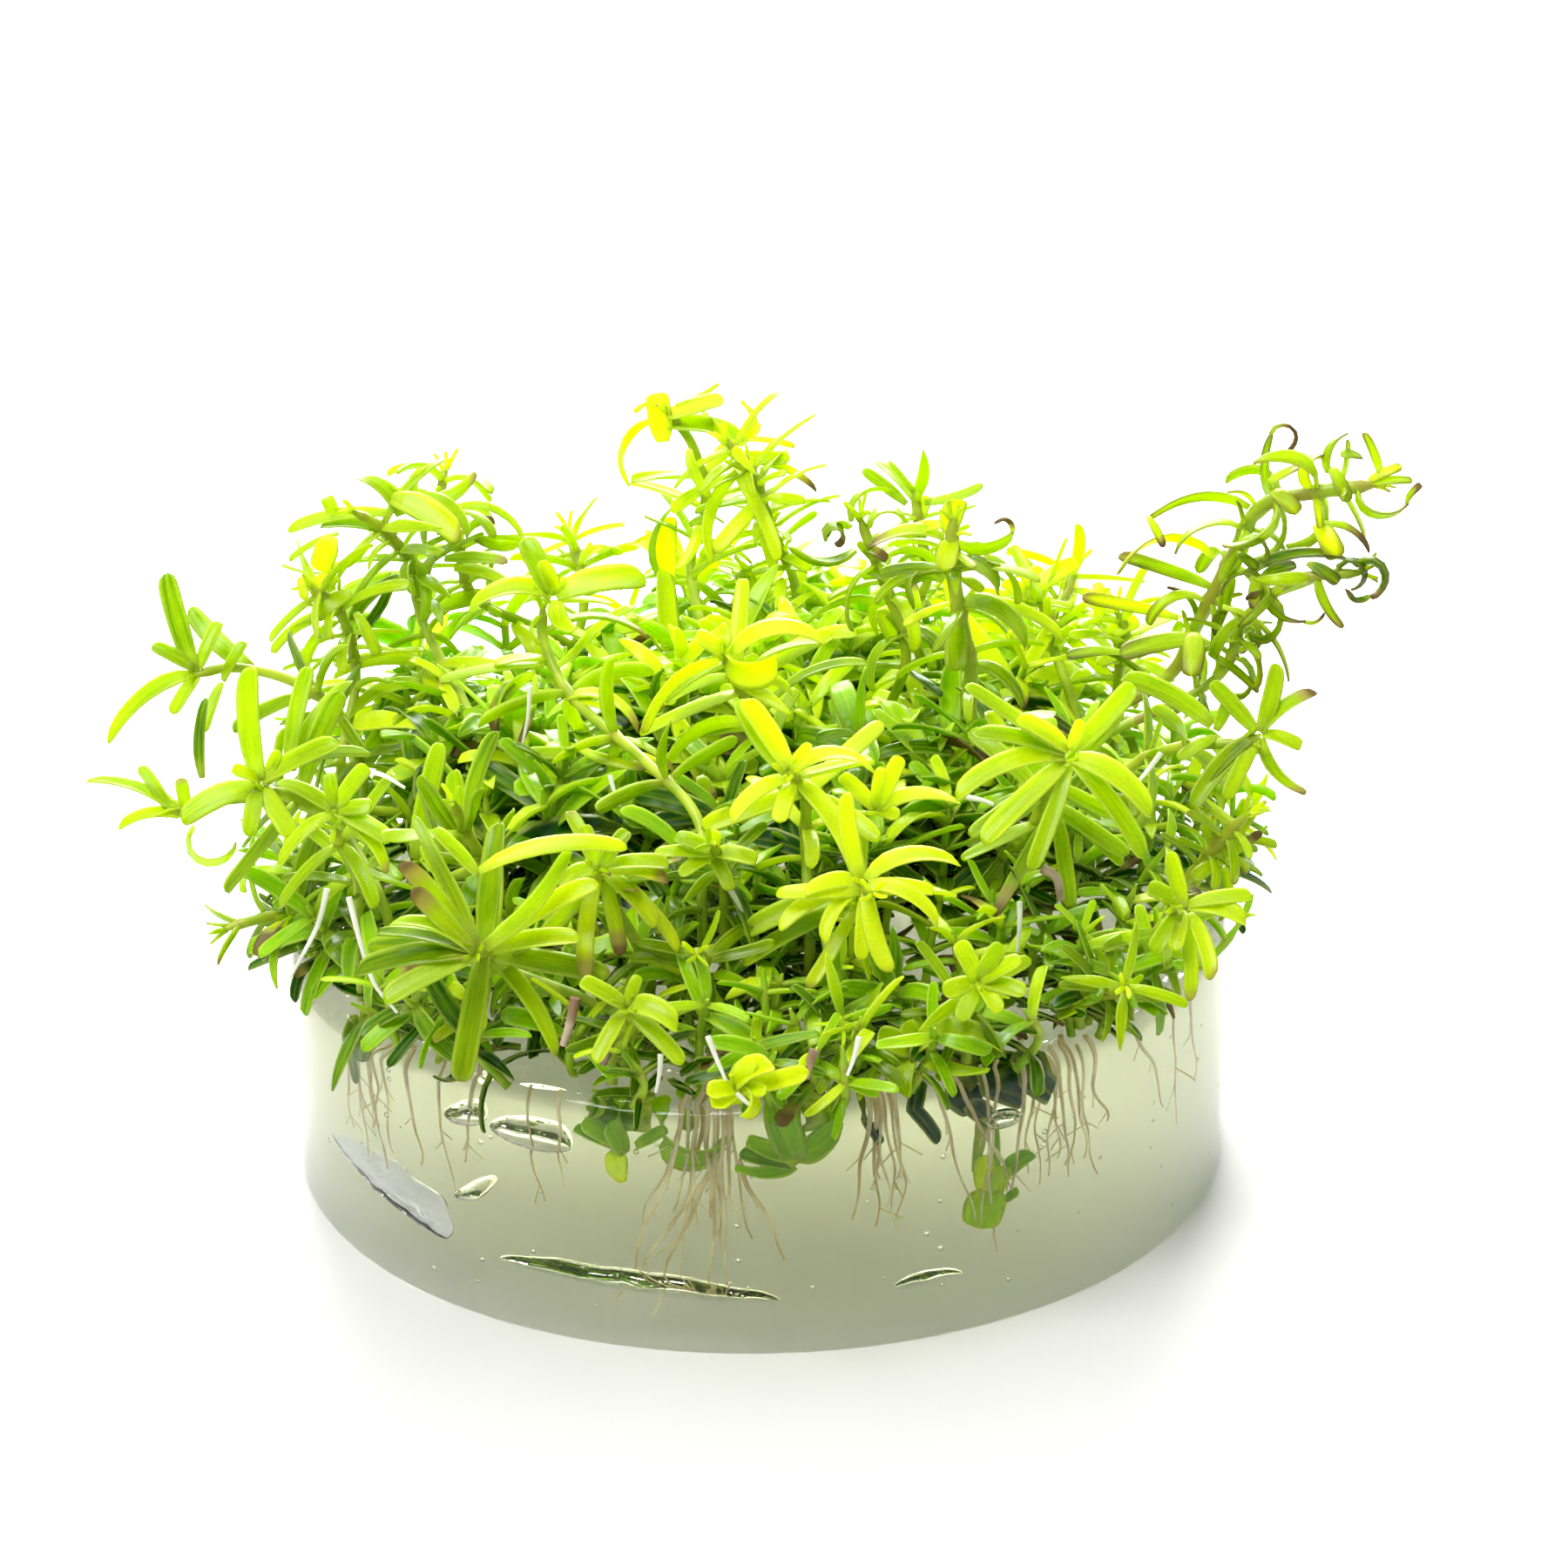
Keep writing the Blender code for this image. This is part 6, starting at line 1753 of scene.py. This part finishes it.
sunkenSprigs = {
    "left": [(-8.0, -33.5, 17.4), (-10.5, -33.2, 17.4), (-13.0, -32.4, 17.6)],
    "middle": [(5.6, -34.0, 19.0), (4.2, -34.2, 17.8), (2.6, -34.2, 17.0)],
    "deep": [(16.8, -30.8, 16.5), (16.6, -31.0, 14.0), (16.2, -31.2, 11.9)],
}
sprigForm = {"radius": 0.42, "firstPair": 0.5, "pairGap": 1.5, "tone": 0.50}

# top and foot of each fan with the radius there, and how many roots
rootFans = {
    "front": dict(top=(-3.5, -35.0, 20.5), foot=(-5.0, -35.2, 4.5), wide=(2.0, 6.5), roots=13),
    "frontRight": dict(top=(9.5, -35.0, 20.5), foot=(9.5, -35.6, 9.0), wide=(1.2, 3.0),
                       roots=7),
    "right": dict(top=(23.0, -28.0, 20.5), foot=(23.2, -27.0, 9.0), wide=(3.2, 4.8), roots=9),
    "left": dict(top=(-30.5, -20.0, 18.5), foot=(-30.0, -20.5, 8.5), wide=(2.4, 3.2),
                 roots=8),
    "back": dict(top=(2.0, 33.0, 20.5), foot=(3.0, 33.5, 8.5), wide=(1.8, 3.0), roots=9),
}
rootForm = {
    "flat": 0.55,
    "radius": (0.15, 0.26),
    "tip": 0.35,
    "wobble": 1.0,
    "steps": 14,
    "rootlets": 2,
    "rootletLength": (1.0, 2.6),
    "rootletRadius": 0.06,
}
# roots beside the fans: fan, top, foot
looseRoots = [
    ("front", (-3.0, -35.4, 15.0), (-11.0, -36.2, 3.2)),
    ("front", (-3.4, -35.4, 15.0), (-8.6, -36.8, 2.2)),
    ("front", (-1.6, -35.4, 15.4), (1.4, -36.4, 7.4)),
    ("frontRight", (17.2, -33.0, 21.0), (18.2, -33.8, 5.6)),
    ("frontRight", (18.6, -32.0, 21.0), (17.0, -33.6, 8.0)),
    ("frontRight", (13.6, -34.6, 20.6), (16.4, -34.6, 9.0)),
    ("frontRight", (15.0, -34.2, 20.6), (20.4, -32.4, 10.0)),
    ("right", (20.6, -31.4, 20.6), (19.6, -32.2, 9.4)),
    ("right", (29.0, -23.6, 20.6), (32.6, -21.4, 12.0)),
    ("right", (33.0, -20.5, 20.5), (33.8, -21.0, 10.0)),
    ("right", (34.6, -17.5, 20.5), (35.6, -16.8, 12.0)),
    ("left", (-17.6, -34.0, 20.4), (-17.0, -34.4, 11.0)),
    ("left", (-15.2, -35.6, 21.0), (-15.0, -36.2, 13.0)),
    ("left", (-22.0, -30.4, 20.5), (-22.4, -31.0, 12.5)),
    ("left", (-24.6, -28.0, 20.5), (-24.0, -28.6, 8.5)),
    ("left", (-27.4, -26.0, 20.0), (-26.8, -26.4, 10.5)),
    ("back", (-14.0, 33.0, 21.0), (-15.0, 33.8, 11.0)),
    ("back", (18.0, 31.0, 21.0), (18.8, 32.0, 9.0)),
]
# rootlets that hang from the shoots in the air, and dried stems that lie bare across the others
airRoots = [
    [(-33.8, -24.0, 33.2), (-34.6, -24.4, 30.4), (-36.1, -24.8, 27.6), (-37.2, -25.2, 25.8)],
    [(-31.4, -30.0, 35.0), (-30.6, -30.4, 31.1), (-29.7, -30.8, 28.0), (-28.0, -31.2, 25.7)],
    [(-18.3, -8.0, 44.2), (-18.5, -8.4, 41.8), (-19.0, -8.8, 39.5)],
    [(33.2, -10.0, 38.4), (32.3, -10.4, 37.3), (31.1, -10.8, 35.9)],
    [(16.9, -18.0, 37.9), (18.3, -18.4, 37.7), (19.7, -18.8, 37.2)],
    [(-2.5, -26.0, 34.4), (-1.5, -26.4, 32.8), (-0.7, -26.8, 31.0)],
    [(-3.6, -43.0, 28.9), (-3.0, -43.4, 27.3), (-2.3, -43.8, 25.6)],
    [(-7.2, -42.0, 27.0), (-7.3, -42.4, 25.6), (-7.6, -42.8, 24.2)],
    [(-1.5, -44.0, 24.6), (-0.9, -44.4, 24.2), (-0.2, -44.8, 23.7)],
    [(20.7, -26.0, 32.2), (20.7, -26.4, 30.4), (20.5, -26.8, 28.2)],
    [(-11.6, -16.0, 39.4), (-11.3, -16.4, 38.2), (-10.8, -16.8, 37.0)],
    [(-31.6, -18.0, 40.8), (-29.6, -18.4, 40.6), (-27.8, -18.8, 39.6)],
    [(7.7, -43.0, 28.7), (7.3, -43.4, 27.1), (6.8, -43.8, 25.9)],
]
driedStems = [
    [(-13.7, -38.0, 29.9), (-14.1, -38.3, 28.1), (-14.7, -38.6, 26.2)],
    [(-10.7, -38.5, 28.5), (-11.1, -38.8, 26.6), (-11.7, -39.1, 24.8)],
    [(22.5, -25.0, 34.6), (23.6, -25.3, 33.9), (24.0, -25.6, 32.1)],
    [(4.4, -42.0, 27.2), (4.0, -42.3, 26.3), (3.7, -42.6, 25.1)],
]
strandForm = {
    "steps": 16,
    "airRoot": (0.24, 0.12),        # radius at the top and at the end
    "driedStem": (0.42, 0.30),
}


def rootLine(top, foot, radius):
    top, foot = Vector(top), Vector(foot)
    line = []
    shift = Vector((rng.uniform(0, 50), rng.uniform(0, 50), 0))
    for k in range(rootForm["steps"] + 1):
        part = k / rootForm["steps"]
        place = top.lerp(foot, part)
        drift = noise.noise_vector(shift + Vector((0, 0, part * 2.6)))
        place += Vector((drift.x, drift.y, 0)) * rootForm["wobble"] * (0.3 + part)
        line.append({"place": place,
                     "radius": radius * (1 - (1 - rootForm["tip"]) * part)})
    return line


def rootletLines(line):
    lines = []
    for _ in range(rootForm["rootlets"]):
        spot = line[rng.randrange(3, len(line) - 2)]["place"]
        way = Vector((rng.gauss(0, 1), rng.gauss(0, 0.6), -1.2)).normalized()
        end = spot + way * rng.uniform(*rootForm["rootletLength"])
        lines.append([{"place": spot.lerp(end, t), "radius": rootForm["rootletRadius"]}
                      for t in (0, 0.35, 0.7, 1.0)])
    return lines


def growRoots():
    for key, fan in rootFans.items():
        pairs = [(top, foot) for name, top, foot in looseRoots if name == key]
        for k in range(fan["roots"]):
            angle = k * goldenAngle
            share = math.sqrt((k + 0.5) / fan["roots"]) * 0.95
            ends = []
            for centre, radius in zip((fan["top"], fan["foot"]), fan["wide"]):
                ends.append(Vector(centre) + Vector((radius * share * math.cos(angle),
                            radius * share * math.sin(angle) * rootForm["flat"], 0)))
            ends[1] = ends[0].lerp(ends[1], 1.0 if k < 2 else rng.uniform(0.6, 1.0))
            pairs.append(ends)
        lines = []
        for top, foot in pairs:
            line = rootLine(top, foot, rng.uniform(*rootForm["radius"]))
            lines += [line, *rootletLines(line)]
        piece = growPiece(snake(key) + "_gel_roots", [], lines, "gelRoot", "gelRoot",
                          **{"Stem Sides": 6})
        finishPiece(piece, "roots", "roots_" + snake(key))
    print("roots grown in the gel")


def growStrands(name, slot, paths, finish):
    count = strandForm["steps"]
    thick, thin = strandForm[finish]
    lines = []
    for points in paths:
        strand = Stem(points)
        lines.append([{"place": strand.frame(strand.length * k / count)[0],
                       "radius": thick + (thin - thick) * k / count}
                      for k in range(count + 1)])
    piece = growPiece(name, [], lines, finish, finish, **{"Stem Sides": 6})
    finishPiece(piece, slot)


def growSprigs():
    for key, path in sunkenSprigs.items():
        stem = Stem(path)
        leaves = []
        for numbers in fans["sprig" + key.capitalize()]:
            leaves.append(fanLeaf(stem, numbers, leaves[-1] if leaves else None,
                                  tone=sprigForm["tone"] + 0.1 * numbers[7], age=0.1 * numbers[6]))
        pairs = int(stem.length / sprigForm["pairGap"])
        joints = [sprigForm["firstPair"] + sprigForm["pairGap"] * k for k in range(pairs)]
        lines = [stemLine(stem, joints, sprigForm["radius"])]
        piece = growPiece(key + "_sunken_sprig", leaves, lines, "shadeLeaf", "shadeStem")
        finishPiece(piece, "shoots", "sprig_sunk_" + key)
    print("sprigs sunk in the gel")


# Gel block: one clear piece with the splits and bubbles that it holds

# splits: degrees round, height of the outer edge, length, depth into the gel, thickness, how
# steeply they rise inward and along in degrees, and how far their ends lie from the wall (0 to 1)
wallSplits = {
    "frontSlit": (-104.7, 4.8, 23.5, 2.8, 0.36, 17.0, -2.5, 0.25),
    "rightSlit": (-70.5, 4.7, 5.8, 1.6, 0.35, 17.0, 3.0, 0.4),
    "leftCrack": (-141.5, 7.0, 16.5, 7.5, 0.30, -1.0, -11.5, 0.25),
    "leftFacet": (-126.3, 9.8, 2.4, 6.5, 0.90, 4.0, 3.0, 0.3),
    "rimPocket": (-117.5, 16.2, 7.5, 5.0, 1.60, 6.0, -4.0, 0.6),
    "rimPocketSmall": (-126.5, 16.6, 4.0, 4.0, 1.20, 6.0, 3.0, 0.6),
    "rightPocket": (-60.5, 17.0, 3.2, 3.0, 0.90, 8.0, 5.0, 0.6),
}
splitForm = {"inset": 0.25, "around": 48, "across": 12}
bubbles = {
    "count": 70,
    "size": (0.10, 0.28),
    "subdivisions": 1,
    "seed": 11,
    "front": (-150, -20),           # degrees round, where three of four bubbles lie
    "depth": (0.6, 3.0),
    "height": (2.0, 18.0),
}


def rimDrop(angle):
    # the rim is worn lowest on the left, where the block came away from its cup
    left = max(0.0, -math.cos(angle + 0.35)) ** 3
    lumps = noise.noise(Vector((3 * math.cos(angle), 3 * math.sin(angle), 2.0)))
    return gelBlock["leftRimDrop"] * left + gelBlock["rimDrop"] * (lumps + 0.4)


def gelProfile():
    radius, top, edge, rim = (gelBlock[key] for key in ("radius", "top", "edge", "rimRound"))
    profile = []
    for k in range(4):
        angle = math.pi / 2 * k / 3
        profile.append((radius - edge + edge * math.sin(angle), edge - edge * math.cos(angle)))
    for k in range(1, gelBlock["wallRings"]):
        part = k / gelBlock["wallRings"]
        profile.append((radius, edge + (top - rim - edge) * part))
    for k in range(6):
        angle = math.pi / 2 * k / 5
        profile.append((radius - rim + rim * math.cos(angle), top - rim + rim * math.sin(angle)))
    profile += [(radius * share, top) for share in (0.92, 0.86, 0.78, 0.62, 0.40, 0.18)]
    return profile


def gelSurface():
    bm = bmesh.new()
    sides, levelTo = gelBlock["sides"], gelBlock["levelTo"]
    rings = []
    for radius, height in gelProfile():
        ring = []
        for k in range(sides):
            angle = 2 * math.pi * k / sides
            lump = noise.noise(Vector((2.2 * math.cos(angle), 2.2 * math.sin(angle),
                                       height * 0.09)))
            out = radius + gelBlock["wobble"] * lump * min(1.0, height / 4.0)
            x, y = out * math.cos(angle), out * math.sin(angle)
            share = max(0.0, height - levelTo) / (gelBlock["top"] - levelTo)
            z = height + gelBlock["slope"] * x * share
            nearRim = (radius - gelBlock["rimDropFrom"]) / gelBlock["rimDropWidth"]
            z -= rimDrop(angle) * share ** 4 * max(0.0, min(1.0, nearRim))
            if height > gelBlock["top"] - 0.01:
                z += gelBlock["unevenTop"] * noise.noise(Vector((x, y, 0)) * 0.22)
            ring.append(bm.verts.new((x, y, z)))
        rings.append(ring)
    for low, high in zip(rings, rings[1:]):
        for k in range(sides):
            j = (k + 1) % sides
            bm.faces.new((low[k], low[j], high[j], high[k]))
    bm.faces.new(list(reversed(rings[0])))
    bm.faces.new(rings[-1])
    bmesh.ops.scale(bm, vec=(mm, mm, mm), verts=bm.verts)
    return bm


def addSplit(bm, around, height, length, deep, thick, rise, climb, sunk):
    # a flat hollow that runs inward from just under the wall, its faces looking into it
    made = bmesh.ops.create_uvsphere(bm, u_segments=splitForm["across"],
                                     v_segments=splitForm["around"], radius=0.5)["verts"]
    bmesh.ops.rotate(bm, verts=made, matrix=Matrix.Rotation(math.radians(90), 3, "Y"))
    slope, lean = math.tan(math.radians(rise)), math.tan(math.radians(climb))
    outer = gelBlock["radius"] - splitForm["inset"]
    for vert in made:
        along = vert.co.x * length
        half = math.sqrt(max(0.0, 0.25 - vert.co.x ** 2))
        uneven = 1.0 + 0.22 * noise.noise(Vector((along * 0.28, height, around)))
        inward = (half + (0.5 - half) * sunk - vert.co.y) * deep * uneven
        ripple = 0.07 * noise.noise(Vector((along * 0.9, inward * 0.5, around)))
        lift = vert.co.z * thick * uneven + along * lean + inward * slope + ripple
        angle = math.radians(around) + along / gelBlock["radius"]
        out = outer - inward
        vert.co = Vector((out * math.cos(angle), out * math.sin(angle), height + lift)) * mm
    faces = {face for vert in made for face in vert.link_faces}
    bmesh.ops.recalc_face_normals(bm, faces=list(faces))
    bmesh.ops.reverse_faces(bm, faces=list(faces))


def bubbleTree():
    tree, given, result = newGroup("bubbles", "GeometryNodeTree", (
        ("Geometry", "Geometry", None), ("Subdivisions", "Int", 2),
        ("Material", "Material", None)), (("Geometry", "Geometry"),))
    ball = addNode(tree, "GeometryNodeMeshIcoSphere", {"Radius": 1.0,
                                                       "Subdivisions": given["Subdivisions"]})
    inward = addNode(tree, "GeometryNodeFlipFaces", {0: ball.outputs[0]})
    copies = addNode(tree, "GeometryNodeInstanceOnPoints", {
        "Points": given["Geometry"], "Instance": inward.outputs[0],
        "Scale": readAttribute(tree, "radius")})
    real = addNode(tree, "GeometryNodeRealizeInstances", {0: copies.outputs[0]})
    clad = addNode(tree, "GeometryNodeSetMaterial", {"Geometry": real.outputs[0],
                                                     "Material": given["Material"]})
    tree.links.new(clad.outputs[0], result["Geometry"])
    return tree


def bubbleMesh():
    chance = random.Random(bubbles["seed"])
    spots = []
    for k in range(bubbles["count"]):
        angle = math.radians(chance.uniform(*(bubbles["front"] if k % 4 else (0, 360))))
        out = gelBlock["radius"] - chance.uniform(*bubbles["depth"])
        spots.append({"place": Vector((out * math.cos(angle), out * math.sin(angle),
                                       chance.uniform(*bubbles["height"]))),
                      "radius": chance.uniform(*bubbles["size"])})
    return grownMesh("bubbles", [], [[spot] for spot in spots], trees["bubbles"],
                     {"Subdivisions": bubbles["subdivisions"], "Material": finishes["gel"]})


def castGel():
    bm = gelSurface()
    for split in wallSplits.values():
        addSplit(bm, *split)
    bm.from_mesh(bubbleMesh())
    for face in bm.faces:
        face.smooth = len(face.verts) < 5
        face.material_index = 0
    mesh = meshFrom(bm, "clear_gel")
    mesh.materials.append(finishes["gel"])
    piece = newPiece("clear_gel", mesh)
    finishPiece(piece, "gel", "gel_block")
    print("gel cast")


trees = {
    "shoots": growingTree(),
    "bubbles": bubbleTree(),
    "leafSurface": leafSurfaceGroup(),
}
finishes = {
    "freshLeaf": leafFinish("freshLeaf", freshLeaf),
    "shadeLeaf": leafFinish("shadeLeaf", shadeLeaf),
    "greenStem": stemFinish("greenStem", greenStem),
    "shadeStem": stemFinish("shadeStem", shadeStem),
    "gelRoot": stemFinish("gelRoot", gelRoot),
    "airRoot": stemFinish("airRoot", airRoot),
    "driedStem": stemFinish("driedStem", driedStem),
    "gel": gelFinish(),
}
buildStudio()
placeCamera()
castGel()
growShoots()
growUndergrowth()
growRoots()
growSprigs()
growStrands("air_rootlets", "roots", airRoots, "airRoot")
growStrands("dried_stems", "shoots", driedStems, "driedStem")
